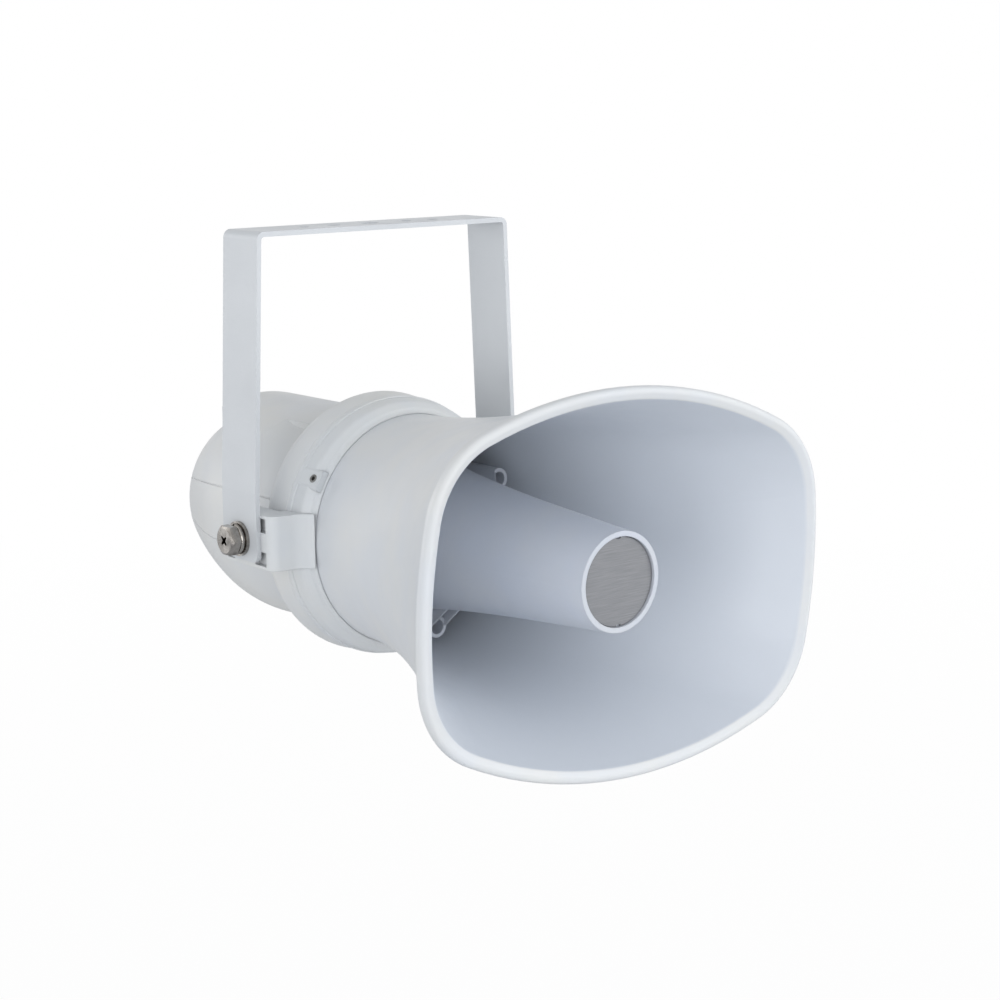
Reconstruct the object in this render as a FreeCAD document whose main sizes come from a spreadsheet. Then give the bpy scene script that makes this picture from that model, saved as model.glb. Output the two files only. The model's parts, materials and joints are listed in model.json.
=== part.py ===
import FreeCAD, Part
import math
import os
import Sketcher
from FreeCAD import Placement, Rotation, Vector

# Network horn loudspeaker on a U bracket.
#
# Frame: the origin is the middle of the outer face of the bracket's top plate, +Z points
# up out of that plate, X runs from arm to arm and the mouth of the horn faces -Y.
# The pieces of the horn are drawn in a frame of their own, whose Y axis is the horn's axis
# and whose zero is the front plane of the mouth, and are then set down on the pivots.

SIZES = {
    # bracket: bent strip with a top plate and two arms
    "sheet": 2.3,              # thickness of the strip
    "arm_width": 27.5,         # width of the strip, along Y
    "arm_splay": 5.0,          # each arm leans outwards by this much on its way down
    "drop": 139.2,             # pivot below the outer face of the top plate
    "foot_rise": 22.0,         # height of the soft bend above the pivot
    "foot_end": 9.6,           # end of the arm below the pivot
    "foot_round": 3.5,         # rounding of the corners of the feet
    "bend_round": 3.8,         # outer rounding of the two bends
    "main_hole": 4.5,          # radius of the middle hole of the plate
    "mid_hole": 3.25,          # radius of the two holes beside it
    "mid_place": 20.5,         # their distance from the middle
    "end_hole": 2.5,           # radius of the two outer holes
    "end_place": 37.0,         # their distance from the middle
    # pivots
    "pivot_behind": 12.9,      # pivot axis behind the seam of ring and housing
    "pivot_rise": 2.0,         # pivot axis above the axis of the horn
    "bolt_radius": 4.0,
    "bolt_play": 0.1,          # radial play of the bolt in the arm
    "thread_play": 0.05,       # between a screw and the thread it sits in
    "bolt_reach": 12.5,        # shank of the bolt under the washers, from the face of the arm
    "head_flats": 13.0,        # width across the flats of the bolt head
    "head_thick": 5.2,
    "head_collar": 0.5,        # round step under the hexagon
    "head_face": 5.8,          # radius of the flat face of the head
    "head_bevel": 1.3,         # depth of the cone that takes its corners off
    "cross_arm": 2.65,         # reach of the cross recess, half its width at the tips
    "cross_tip": 0.45,
    "cross_web": 1.2,          # distance of its inner corners from the middle
    "washer_radius": 8.0,
    "washer_thick": 1.6,
    "spring_radius": 7.1,
    "spring_thick": 1.9,
    "insert_radius": 5.6,      # brass insert in the lug
    "insert_length": 9.5,
    # bell
    "mouth_half_x": 111.0,     # half width and half height of the mouth over the lip
    "mouth_half_z": 83.1,
    "mouth_side_arc": 234.6,   # radius of the bowed sides of the mouth
    "mouth_top_arc": 217.5,    # radius of the bowed top and bottom of the mouth
    "mouth_corner": 43.0,      # radius of its corners
    "lip_depth": 5.5,
    "lip_width": 5.2,
    "lip_round": 1.9,
    "lip_flat": 2.9,           # the front of the lip is level up to here, then falls inwards
    "lip_fall": 5.6,
    "lip_fall_deep": 1.3,
    "lip_run": 8.4,
    "lip_run_deep": 3.6,
    "lip_over": 2.6,           # lip stands this far outside the bell
    "bell_wall": 2.6,
    "bell_turn": 4.0,          # turn of the bell about its axis, in degrees
    "neck_radius": 54.3,
    "neck_start": 150.0,       # flare ends here and the straight neck begins
    "neck_show": 3.0,          # free length of the neck in front of the ring
    "collar_proud": 1.9,       # collar at the rear of the bell stands out this far
    "flange_thick": 2.5,
    # clamp ring with its two lugs
    "ring_play": 0.08,         # bell in the front lip of the ring, so that it can be turned
    "ring_bore_play": 0.3,
    "ring_lip": 7.5,           # front wall of the ring that holds the collar of the bell
    "ring_wall": 5.0,
    "bead_long": 2.9,          # bead along the seam
    "bead_proud": 0.7,
    "band_fall": 0.7,          # band between bead and shoulder narrows by this much
    "shoulder_place": 6.2,     # rear of the rounded shoulder behind the front of the ring
    "shoulder_fall": 1.2,
    "shoulder_long": 2.2,
    "shoulder_round": 4.4,
    "cove_flat": 0.6,          # flat, then cove, where the ring meets the neck
    "cove_wide": 2.2,
    "cove_deep": 2.0,
    "cove_round": 4.0,
    "lug_gap": 0.6,            # between the lug and the housing
    "lug_thick": 11.3,         # lug from its inner face to the arm
    "lug_nose": 0.9,           # root of the lug stands in front of the ring
    "lug_bend": 5.0,           # cove between ring and lug ends here, behind the front of the ring
    "lug_bend_out": 2.5,
    "lug_cove": 12.0,
    "lug_lead": 5.6,           # front face behind the front of the ring
    "lug_tail": 15.5,          # lug reaches this far behind the pivot
    "lug_round": 5.0,          # rounding of the front corner of the lug
    "lug_half": 12.6,          # half the height of the lug
    "lug_wall": 1.6,
    "lug_pocket": 2.4,         # depth of the hollows in the lug's outer face
    "lug_boss": 8.6,           # half the length of the boss round the insert
    "pad_half": 4.9,           # half width of the pads that carry the set screws
    "pad_drop": 1.5,           # face of a pad at its screw, below the outside of the ring
    "pad_lean": 9.0,           # lean of that face, in degrees
    "pad_round": 1.8,          # rounding of its long edges
    "set_screw_radius": 1.95,
    "set_screw_in": 4.0,       # set screws behind the front of the ring
    # inner cone, tube and baffle
    "cone_front": 8.7,         # front rim of the inner cone behind the mouth
    "cone_radius": 21.8,       # outer radius of that rim
    "cone_straight": 49.3,     # the side runs straight this far and then flares
    "cone_knee": 25.6,
    "cone_foot": 40.0,         # length of the last arc of the flare
    "cone_flare": 30.8,
    "cone_end": 37.5,
    "cone_wall": 2.0,
    "cone_web": 2.5,           # thickness of the wall behind the disc
    "disc_radius": 19.3,
    "disc_thick": 1.0,
    "disc_recess": 1.2,
    "disc_play": 0.15,
    "notch_half": 1.2,         # two notches in the rim of the disc
    "notch_deep": 0.9,
    "boss_clear": 3.0,         # between the bosses and the inside of the neck
    "boss_long": 30.0,
    "boss_radius": 5.2,
    "boss_hole": 3.5,
    "boss_floor": 4.0,
    "fin_thick": 1.2,
    "fin_run": 16.0,           # fins rise over this length in front of the bosses
    "cone_screw": 1.75,
    "cone_screw_head": 3.1,
    "cone_screw_head_thick": 2.4,
    "fold_gap": 18.6,          # between the cone's front wall and the mouth of the tube
    "tube_bore": 9.5,
    "tube_mouth": 13.0,
    "tube_wall": 2.0,
    "tube_foot": 20.0,
    "tube_foot_thick": 3.0,
    "tube_play": 0.1,
    "gasket_thick": 1.0,
    "baffle_thick": 3.5,
    "seal_thick": 0.8,
    # driver
    "frame_clear": 1.1,        # between the driver and the spacers of the board
    "frame_thick": 3.5,
    "frame_wide": 13.7,        # ring of the frame from its edge to the plug
    "plug_play": 0.1,
    "plug_slot": 1.5,
    "plug_slot_circle": 6.4,
    "film_grip": 5.2,          # rim of the diaphragm reaches this far onto the frame
    "film_rim_wide": 3.0,
    "film_rim_thick": 1.5,
    "film": 0.5,
    "dome_rise": 1.9,
    "dome_radius": 12.4,
    "coil_gap": 0.5,           # air on the inner side of the voice coil
    "coil_thick": 0.7,
    "coil_length": 6.0,
    "coil_air": 0.5,           # air on its outer side
    "pole_radius": 12.4,
    "pole_air": 1.2,           # between the dome and the pole
    "plate_in": 1.5,           # plate and yoke are this much smaller than the magnet
    "plate_thick": 5.0,
    "magnet_in": 5.5,          # magnet in from the edge of the frame
    "magnet_bore": 19.0,
    "magnet_thick": 11.0,
    "yoke_in": 1.0,
    "yoke_thick": 5.0,
    "driver_screw_in": 3.3,    # screws in from the edge of the frame
    "driver_screw": 1.5,
    "driver_screw_head": 2.6,
    "driver_screw_head_thick": 2.0,
    "driver_screw_depth": 2.6,
    # rear housing: each radius is given as a step from the one before it, each place as a
    # run behind the one before it
    "seam_drop": 0.2,
    "ledge": 5.6,              # rim of the housing inside the seam
    "crest_rise": 0.7,
    "crest_run": 10.3,
    "brow_fall": 2.0,
    "brow_run": 5.4,
    "slope_fall": 6.2,
    "slope_run": 6.0,
    "waist_fall": 4.2,
    "waist_run": 9.0,
    "waist_long": 4.0,
    "belly_rise": 4.6,
    "belly_run": 28.0,
    "haunch_fall": 3.2,
    "haunch_run": 23.0,
    "tail_fall": 11.4,
    "tail_run": 30.5,
    "end_fall": 3.8,
    "end_run": 3.5,
    "house_wall": 3.0,
    "belly_wall": 4.6,
    "crown_radius": 60.0,      # the top of the housing is levelled to this arc
    "crown_drop": 10.2,        # top of that arc below the crest
    "crown_reach": 42.0,       # half width over which it levels the belly
    "hood_half": 24.0,
    "hood_deep": 26.0,
    "hood_short": 6.0,         # hood ends this far in front of the rear face
    "hood_round": 8.0,
    "hood_wall": 4.0,
    "line_depth": 0.4,         # engraved lines along both sides
    "line_angle": 0.5,
    "line_high": 16.3,         # angle of the upper line above the axis
    "line_low": 12.0,
    "flange_screw": 1.1,
    "flange_screw_head": 2.1,
    "flange_screw_head_thick": 2.0,
    "flange_screw_run": 8.7,   # seat of the heads behind the seam
    "flange_screw_bite": 5.3,  # length of thread in the ring
    "screw_play": 0.2,         # round screws where they pass through
    # network amplifier
    "board_clear": 3.8,        # between the board and the housing
    "board_thick": 1.6,
    "spacer_long": 46.5,
    "spacer_inset": 2.5,       # spacers in from the edge of the board
    "spacer_radius": 2.9,
    "board_screw": 1.4,
    "board_screw_head": 2.6,
    "board_screw_head_thick": 1.8,
    "board_screw_depth": 6.0,
    "jack_wide": 16.0,
    "jack_high": 13.5,
    "jack_long": 21.0,
    "jack_wall": 2.2,
    "jack_left": 17.0,
    "sink_side": 22.0,
    "sink_base": 2.5,
    "sink_height": 12.0,
    "sink_fin": 1.6,
    "chip_side": 14.0,
    "chip_thick": 1.5,
    "chip_right": 14.0,
    "chip_up": 5.0,
    "can_radius": 5.0,
    "can_length": 16.0,
    "can_right": 2.0,
    "can_pitch": 12.0,
    "can_down": 20.0,
    "coil_height": 8.0,
    "coil_radius": 5.5,
    "coil_waist": 4.3,
    "coil_right": 4.0,
    "coil_pitch": 13.0,
    "coil_up": 27.0,
    "block_wide": 15.0,
    "block_high": 9.0,
    "block_long": 10.0,
    "block_left": 15.0,
    "block_down": 19.0,
    "magnetics_wide": 15.0,
    "magnetics_high": 12.0,
    "magnetics_long": 7.0,
    "magnetics_left": 14.0,
    "magnetics_up": 19.0,
    # cable gland
    "gland_thread": 6.0,
    "gland_play": 0.2,
    "gland_flats": 17.0,
    "gland_collar": 5.0,
    "gland_nut_thick": 5.0,
    "gland_washer_thick": 1.5,
    "gland_neck": 8.5,
    "gland_bore": 4.0,
    "gland_seat": 5.0,
    "gland_cap_radius": 8.4,
    "gland_cap_long": 12.5,
    "gland_seal_long": 7.5,
}

doc = FreeCAD.newDocument("horn_speaker")
sheet = doc.addObject("Spreadsheet::Sheet", "Sizes")
for row, (alias, number) in enumerate(SIZES.items(), start=1):
    sheet.set("A%d" % row, alias)
    sheet.set("B%d" % row, str(number))
    sheet.setAlias("B%d" % row, alias)
doc.recompute()


class Size:
    """A length or an angle, kept with the formula that gives it from the sheet."""

    def __init__(self, value, formula=None):
        self.value = float(value)
        self.formula = formula or repr(float(value))

    def join(self, other, sign, value):
        return Size(value, "(%s %s %s)" % (self.formula, sign, as_size(other).formula))

    def __add__(self, other):
        return self.join(other, "+", self.value + as_size(other).value)

    def __sub__(self, other):
        return self.join(other, "-", self.value - as_size(other).value)

    def __mul__(self, other):
        return self.join(other, "*", self.value * as_size(other).value)

    def __truediv__(self, other):
        return self.join(other, "/", self.value / as_size(other).value)

    def __radd__(self, other):
        return as_size(other) + self

    def __rsub__(self, other):
        return as_size(other) - self

    def __rmul__(self, other):
        return as_size(other) * self

    def __neg__(self):
        return as_size(0) - self


def as_size(number):
    return number if isinstance(number, Size) else Size(number)


def root(size):
    return Size(math.sqrt(size.value), "sqrt(%s)" % size.formula)


def beside(hypotenuse, leg):
    """The other leg of a right triangle."""
    return root(hypotenuse * hypotenuse - leg * leg)


def slope(angle):
    """Rise over run of an angle in degrees."""
    return Size(math.tan(math.radians(angle.value)), "tan(%s)" % angle.formula)


class Sheet:
    """Every size of the sheet by its name."""


S = Sheet()
for alias, number in SIZES.items():
    setattr(S, alias, Size(number, "Sizes." + alias))


# Places and radii that follow from the pieces before them, in the frame of the horn.
S.flange_radius = S.neck_radius + S.collar_proud
S.ring_front = S.neck_start + S.neck_show
neck_end = S.ring_front + S.ring_lip
bell_back = neck_end + S.flange_thick
baffle_front = bell_back + S.gasket_thick
baffle_back = baffle_front + S.baffle_thick
S.ring_back = baffle_back + S.seal_thick
ring_bore = S.flange_radius + S.ring_bore_play
lip_bore = S.neck_radius + S.ring_play
S.ring_radius = ring_bore + S.ring_wall
bead_front = S.ring_back - S.bead_long
S.pivot_back = S.ring_back + S.pivot_behind
axis_drop = S.drop + S.pivot_rise

S.house_seam = S.ring_radius - S.seam_drop
S.house_mouth = S.flange_radius - S.ledge
S.house_crest = S.ring_radius + S.crest_rise
S.house_brow = S.house_crest - S.brow_fall
S.house_fall = S.house_brow - S.slope_fall
S.house_waist = S.house_fall - S.waist_fall
S.house_belly = S.house_waist + S.belly_rise
S.house_haunch = S.house_belly - S.haunch_fall
S.house_tail = S.house_haunch - S.tail_fall
S.house_end_radius = S.house_tail - S.end_fall
S.house_crest_place = S.ring_back + S.crest_run
S.house_brow_place = S.house_crest_place + S.brow_run
S.house_fall_place = S.house_brow_place + S.slope_run
S.house_waist_place = S.house_fall_place + S.waist_run
S.house_waist_end = S.house_waist_place + S.waist_long
S.house_belly_place = S.house_waist_end + S.belly_run
S.house_haunch_place = S.house_belly_place + S.haunch_run
S.house_tail_place = S.house_haunch_place + S.tail_run
S.house_end = S.house_tail_place + S.end_run
crown_top = S.house_crest - S.crown_drop

S.foot_half = S.house_crest + S.lug_gap + S.lug_thick + S.sheet
S.plate_half = S.foot_half - S.arm_splay
arm_inside = S.foot_half - S.sheet
spring_seat = S.foot_half + S.washer_thick
head_seat = spring_seat + S.spring_thick

pad_face = S.ring_radius - S.pad_drop
screw_place = S.ring_front + S.set_screw_in
S.cone_back = S.neck_start
S.cone_knee_place = S.cone_front + S.cone_straight
S.cone_flare_place = S.cone_back - S.cone_foot
S.boss_circle = S.neck_radius - S.bell_wall - S.boss_radius - S.boss_clear
S.boss_front = baffle_front - S.boss_long
S.fin_front = S.boss_front - S.fin_run
cone_floor = S.cone_front + S.disc_recess + S.disc_thick
cone_inside = cone_floor + S.cone_web
S.tube_front = cone_inside + S.fold_gap

S.board_place = baffle_back + S.spacer_long
board_back = S.board_place + S.board_thick
S.board_radius = S.house_waist - S.house_wall - S.board_clear
S.spacer_circle = S.board_radius - S.spacer_inset
S.frame_radius = S.spacer_circle - S.spacer_radius - S.frame_clear
S.plug_radius = S.frame_radius - S.frame_wide
S.film_radius = S.plug_radius + S.film_grip
S.film_rim = S.film_radius - S.film_rim_wide
S.magnet_radius = S.frame_radius - S.magnet_in
S.plate_radius = S.magnet_radius - S.plate_in
S.yoke_radius = S.magnet_radius - S.yoke_in
S.driver_screw_circle = S.frame_radius - S.driver_screw_in
S.flange_screw_circle = (ring_bore + S.ring_radius - S.bead_proud) / 2
S.flange_screw_seat = S.ring_back + S.flange_screw_run
S.flange_screw_tip = S.ring_back - S.flange_screw_bite

bodies = []


def bind(thing, prop, size):
    """Give a property its size and tie it to the sheet."""
    size = as_size(size)
    target = thing
    for step in prop.split(".")[:-1]:
        target = getattr(target, step)
    if "." not in prop:
        setattr(thing, prop, size.value)
    thing.setExpression("." + prop if "." in prop else prop, size.formula)


def new_body(label):
    body = doc.addObject("PartDesign::Body", label)
    body.Label = label
    bodies.append(body)
    return body


def set_down(body, turn=None):
    """Place a body that was drawn in the frame of the horn."""
    angle = turn.value if turn else 0
    body.Placement = Placement(
        Vector(0, -S.pivot_back.value, -axis_drop.value), Rotation(Vector(0, 1, 0), angle))
    body.setExpression(".Placement.Base.y", (-S.pivot_back).formula)
    body.setExpression(".Placement.Base.z", (-axis_drop).formula)
    if turn:
        body.setExpression(".Placement.Rotation.Angle", turn.formula)
    return body


def origin_plane(body, role):
    return next(f for f in body.Origin.OriginFeatures if f.Role == role)


def new_sketch(body, role, lift=None):
    """A sketch on a plane of the body, lifted along the plane's normal."""
    sketch = body.newObject("Sketcher::SketchObject", body.Label + "_sketch")
    sketch.AttachmentSupport = [(origin_plane(body, role), "")]
    sketch.MapMode = "FlatFace"
    if lift is not None:
        lift = as_size(lift)
        sketch.AttachmentOffset = Placement(Vector(0, 0, lift.value), Rotation())
        sketch.setExpression(".AttachmentOffset.Base.z", lift.formula)
    return sketch


def tie(sketch, kind, place, size):
    """Add one constraint whose value follows the sheet."""
    size = as_size(size)
    index = sketch.addConstraint(Sketcher.Constraint(kind, *place, size.value))
    if "Sizes" in size.formula:
        sketch.setExpression("Constraints[%d]" % index, size.formula)


def tie_point(sketch, geometry, end, point):
    tie(sketch, "DistanceX", (-1, 1, geometry, end), point[0])
    tie(sketch, "DistanceY", (-1, 1, geometry, end), point[1])


def draw_circle(sketch, centre, radius):
    middle = Vector(as_size(centre[0]).value, as_size(centre[1]).value, 0)
    circle = sketch.addGeometry(
        Part.Circle(middle, Vector(0, 0, 1), as_size(radius).value), False)
    tie_point(sketch, circle, 3, centre)
    tie(sketch, "Radius", (circle,), radius)


def arc_between(start, end, radius):
    """Arc from start to end; its centre lies to the left when the radius is positive."""
    chord = end.sub(start)
    half = chord.Length / 2
    side = math.sqrt(radius * radius - half * half)
    left = Vector(-chord.y, chord.x, 0).normalize()
    centre = start.add(end).multiply(0.5).add(left.multiply(side if radius > 0 else -side))
    first = math.atan2(start.y - centre.y, start.x - centre.x)
    last = math.atan2(end.y - centre.y, end.x - centre.x)
    if radius < 0:
        first, last = last, first
    circle = Part.Circle(centre, Vector(0, 0, 1), abs(radius))
    return Part.ArcOfCircle(circle, first, last)


def arc_onwards(start, end, heading):
    """Arc from start to end that leaves in the direction of the heading."""
    chord = end.sub(start)
    bend = math.atan2(heading.x * chord.y - heading.y * chord.x, heading.dot(chord))
    radius = chord.Length / 2 / math.sin(bend)
    left = Vector(-heading.y, heading.x, 0)
    centre = start.add(left.multiply(radius))
    first = math.atan2(start.y - centre.y, start.x - centre.x)
    last = math.atan2(end.y - centre.y, end.x - centre.x)
    if radius < 0:
        first, last = last, first
    circle = Part.Circle(centre, Vector(0, 0, 1), abs(radius))
    turned = Vector(heading)
    turned = Rotation(Vector(0, 0, 1), math.degrees(2 * bend)).multVec(turned)
    return Part.ArcOfCircle(circle, first, last), radius > 0, turned


def draw_outline(sketch, points):
    """Closed outline of straight lines and arcs.

    A third entry of a point tells how the outline gets there: a number is the radius of an
    arc, and "smooth" is an arc that goes on in the direction of the piece before it.
    """
    corners = [Vector(as_size(p[0]).value, as_size(p[1]).value, 0) for p in points]
    count = len(points)
    heading = None
    for k in range(count):
        start = corners[k]
        end = corners[(k + 1) % count]
        goal = points[(k + 1) % count]
        smooth = len(goal) == 3 and goal[2] == "smooth"
        forward = True
        if smooth:
            arc, forward, heading = arc_onwards(start, end, heading)
            piece = sketch.addGeometry(arc, False)
        elif len(goal) == 3:
            forward = as_size(goal[2]).value > 0
            piece = sketch.addGeometry(arc_between(start, end, as_size(goal[2]).value), False)
            tie(sketch, "Radius", (piece,), goal[2] if forward else -as_size(goal[2]))
        else:
            piece = sketch.addGeometry(Part.LineSegment(start, end), False)
            heading = end.sub(start).normalize()
        ends = (1, 2) if forward else (2, 1)
        if k:
            kind = "Tangent" if smooth else "Coincident"
            sketch.addConstraint(Sketcher.Constraint(kind, last[0], last[1], piece, ends[0]))
        else:
            first = (piece, ends[0])
        last = (piece, ends[1])
        tie_point(sketch, piece, ends[0], points[k])
    closing = Sketcher.Constraint("Coincident", last[0], last[1], first[0], first[1])
    sketch.addConstraint(closing)


def pad(body, sketch, length, both_ways=False, backwards=False):
    feature = body.newObject("PartDesign::Pad", body.Label + "_pad")
    feature.Profile = sketch
    bind(feature, "Length", length)
    feature.Midplane = both_ways
    feature.Reversed = backwards
    return feature


def pocket(body, sketch, depth, both_ways=False, backwards=False):
    feature = body.newObject("PartDesign::Pocket", body.Label + "_pocket")
    feature.Profile = sketch
    bind(feature, "Length", depth)
    feature.Midplane = both_ways
    feature.Reversed = backwards
    return feature


def turn(body, points, kind="Revolution", angle=360, both_ways=False):
    """Revolve an outline of (radius, place along the axis) about the horn's axis."""
    sketch = new_sketch(body, "XY_Plane")
    draw_outline(sketch, points)
    feature = body.newObject("PartDesign::" + kind, body.Label + "_turned")
    feature.Profile = sketch
    feature.ReferenceAxis = (sketch, ["V_Axis"])
    feature.Midplane = both_ways
    bind(feature, "Angle", angle)
    return feature


def tube_points(inner, outer, front, back):
    return [(inner, front), (outer, front), (outer, back), (inner, back)]


def around(body, features, count, first=0):
    """Repeat features about the horn's axis."""
    pattern = body.newObject("PartDesign::PolarPattern", body.Label + "_around")
    pattern.Originals = features
    pattern.Axis = (origin_plane(body, "Y_Axis"), [""])
    pattern.Angle = 360
    pattern.Occurrences = count
    body.Tip = pattern
    return pattern


def ring_edges(feature, test):
    """Names of the edges for which a test holds."""
    doc.recompute()
    return ["Edge%d" % (k + 1) for k, e in enumerate(feature.Shape.Edges) if test(e)]


def soften(body, feature, names, radius, kind="Fillet"):
    rounded = body.newObject("PartDesign::" + kind, body.Label + "_" + kind.lower())
    rounded.Base = (feature, names)
    bind(rounded, "Radius" if kind == "Fillet" else "Size", radius)
    body.Tip = rounded
    return rounded


def near(number, size, slack=0.05):
    return abs(number - as_size(size).value) < slack


def polar(radius, degrees):
    """Point at an angle from the first axis of a plane towards its second."""
    angle = math.radians(degrees)
    return (radius * math.cos(angle), radius * math.sin(angle))


BOSS_ANGLES = (30, 150, 270)      # bosses of the cone and pads of the ring
SPACER_ANGLES = (52, 128, 232, 308)
DRIVER_SCREW_ANGLES = (0, 90, 180, 270)
FLANGE_SCREW_ANGLES = (60, 90, 120, 240, 300)


# Bracket

def make_bracket():
    body = new_body("mounting_bracket")
    rise = S.drop - S.foot_rise
    # the arms lean outwards on their way down, so the strip measures more across them
    lean = (S.foot_half - S.plate_half) / rise
    slant = root(1 + lean * lean)
    inner_top = S.plate_half + lean * S.sheet - S.sheet * slant
    inner_low = S.foot_half - S.sheet
    low = -(S.drop + S.foot_end)
    sketch = new_sketch(body, "XZ_Plane")
    draw_outline(sketch, [
        (-S.plate_half, 0), (-S.foot_half, -rise), (-S.foot_half, low), (-inner_low, low),
        (-inner_low, -rise), (-inner_top, -S.sheet), (inner_top, -S.sheet), (inner_low, -rise),
        (inner_low, low), (S.foot_half, low), (S.foot_half, -rise), (S.plate_half, 0)])
    strip = pad(body, sketch, S.arm_width, both_ways=True)

    def along_strip(edge):
        return edge.Length > S.arm_width.value - 0.1 and abs(edge.tangentAt(0).y) > 0.99

    outer = ring_edges(strip, lambda e: along_strip(e) and near(e.CenterOfMass.z, 0))
    bent = soften(body, strip, outer, S.bend_round)
    inner = ring_edges(bent, lambda e: along_strip(e) and near(e.CenterOfMass.z, -S.sheet))
    bent = soften(body, bent, inner, S.bend_round - S.sheet)
    feet = ring_edges(bent, lambda e: near(e.Length, S.sheet) and near(e.CenterOfMass.z, low))
    soften(body, bent, feet, S.foot_round)

    holes = new_sketch(body, "XY_Plane")
    draw_circle(holes, (0, 0), S.main_hole)
    for side in (-1, 1):
        draw_circle(holes, (side * S.mid_place, 0), S.mid_hole)
        draw_circle(holes, (side * S.end_place, 0), S.end_hole)
    pocket(body, holes, S.sheet * 2)

    pivots = new_sketch(body, "YZ_Plane")
    draw_circle(pivots, (0, -S.drop), S.bolt_radius + S.bolt_play)
    pocket(body, pivots, S.foot_half * 2 + 2, both_ways=True)
    return body


# Pivot hardware: each kind is drawn for the right side and mirrored to the left

def both_sides(body):
    mirror = body.newObject("PartDesign::Mirrored", body.Label + "_mirror")
    mirror.Originals = [f for f in body.Group if f.TypeId in (
        "PartDesign::Pad", "PartDesign::Pocket", "PartDesign::Revolution", "PartDesign::Groove")]
    mirror.MirrorPlane = (origin_plane(body, "YZ_Plane"), [""])
    body.Tip = mirror
    return body


def on_pivot(body):
    """Place a body whose X axis is the pivot axis."""
    body.Placement = Placement(Vector(0, 0, -S.drop.value), Rotation())
    body.setExpression(".Placement.Base.z", (-S.drop).formula)
    return body


def pivot_turned(body, points, kind="Revolution"):
    """Revolve an outline of (place along X, radius) about the pivot axis."""
    sketch = new_sketch(body, "XZ_Plane")
    draw_outline(sketch, points)
    feature = body.newObject("PartDesign::" + kind, body.Label + "_turned")
    feature.Profile = sketch
    feature.ReferenceAxis = (sketch, ["H_Axis"])
    feature.Angle = 360
    return feature


def pivot_ring(label, inner, outer, start, thick):
    body = on_pivot(new_body(label))
    pivot_turned(body, [
        (start, inner), (start + thick, inner), (start + thick, outer), (start, outer)])
    return both_sides(body)


def hexagon(flats):
    """Corners of a hexagon with two corners on the first axis."""
    tip = flats / math.sqrt(3)
    return [(tip, 0), (tip / 2, flats / 2), (-(tip / 2), flats / 2), (-tip, 0),
            (-(tip / 2), -(flats / 2)), (tip / 2, -(flats / 2))]


def make_pivot_bolts():
    body = on_pivot(new_body("pivot_bolts"))
    shank = new_sketch(body, "YZ_Plane", S.foot_half - S.bolt_reach)
    draw_circle(shank, (0, 0), S.bolt_radius)
    pad(body, shank, head_seat - S.foot_half + S.bolt_reach)
    collar = new_sketch(body, "YZ_Plane", head_seat)
    draw_circle(collar, (0, 0), S.head_flats / 2 - S.head_collar / 2)
    pad(body, collar, S.head_collar)
    head = new_sketch(body, "YZ_Plane", head_seat + S.head_collar)
    draw_outline(head, hexagon(S.head_flats))
    pad(body, head, S.head_thick - S.head_collar)
    # the turned face of the head cuts its six corners back to a cone
    face = head_seat + S.head_thick
    beyond = S.head_flats * 0.6
    pivot_turned(body, [
        (face - S.head_bevel, beyond), (face + 1.0, beyond), (face + 1.0, S.head_face),
        (face, S.head_face)], "Groove")
    # cross recess: four arms that widen towards the middle, standing as an X
    cross = new_sketch(body, "YZ_Plane", face)
    corners = []
    for quarter in (45, 135, 225, 315):
        ay, az = polar(1, quarter)
        wy, wz = polar(S.cross_web, quarter + 45)
        for side in (-1, 1):
            corners.append((S.cross_arm * ay - side * S.cross_tip * az,
                            S.cross_arm * az + side * S.cross_tip * ay))
        corners.append((wy, wz))
    draw_outline(cross, corners)
    pocket(body, cross, S.head_thick * 0.5)
    return both_sides(body)


def make_spring_washers():
    body = on_pivot(new_body("spring_washers"))
    inner = S.bolt_radius + S.bolt_play * 2
    edge = S.spring_thick / 4
    pivot_turned(body, [
        (spring_seat, inner), (head_seat, inner), (head_seat, S.spring_radius - edge),
        (head_seat - edge, S.spring_radius), (spring_seat + edge, S.spring_radius),
        (spring_seat, S.spring_radius - edge)])
    # the split that makes it a spring
    split = new_sketch(body, "YZ_Plane", spring_seat)
    draw_outline(split, [(0.5, 0), (0.5, S.spring_radius + 1), (-0.5, S.spring_radius + 1),
                         (-0.5, 0)])
    pocket(body, split, S.spring_thick, backwards=True)
    return both_sides(body)


def make_lug_inserts():
    body = on_pivot(new_body("lug_inserts"))
    start = arm_inside - S.insert_length
    bore = S.bolt_radius + S.thread_play
    notch = S.insert_radius - 0.6
    middle = start + S.insert_length / 2
    pivot_turned(body, [
        (start, bore), (arm_inside, bore), (arm_inside, S.insert_radius),
        (middle + 0.8, S.insert_radius), (middle + 0.8, notch), (middle - 0.8, notch),
        (middle - 0.8, S.insert_radius), (start, S.insert_radius)])
    return both_sides(body)


# Bell

def bowed_outline(half_x, half_z, side_arc, top_arc, corner):
    """Corner centre and meeting points of a rounded rectangle with bowed sides."""
    side_centre = half_x - side_arc
    top_centre = half_z - top_arc
    reach_side = side_arc - corner
    reach_top = top_arc - corner
    apart = math.hypot(side_centre, top_centre)
    along = (reach_side ** 2 - reach_top ** 2 + apart ** 2) / (2 * apart)
    across = math.sqrt(reach_side ** 2 - along ** 2)
    ux, uz = -side_centre / apart, top_centre / apart
    corner_x = side_centre + ux * along - uz * across
    corner_z = uz * along + ux * across
    side_angle = math.atan2(corner_z, corner_x - side_centre)
    top_angle = math.atan2(corner_z - top_centre, corner_x)
    return corner_x, corner_z, side_angle, top_angle


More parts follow.
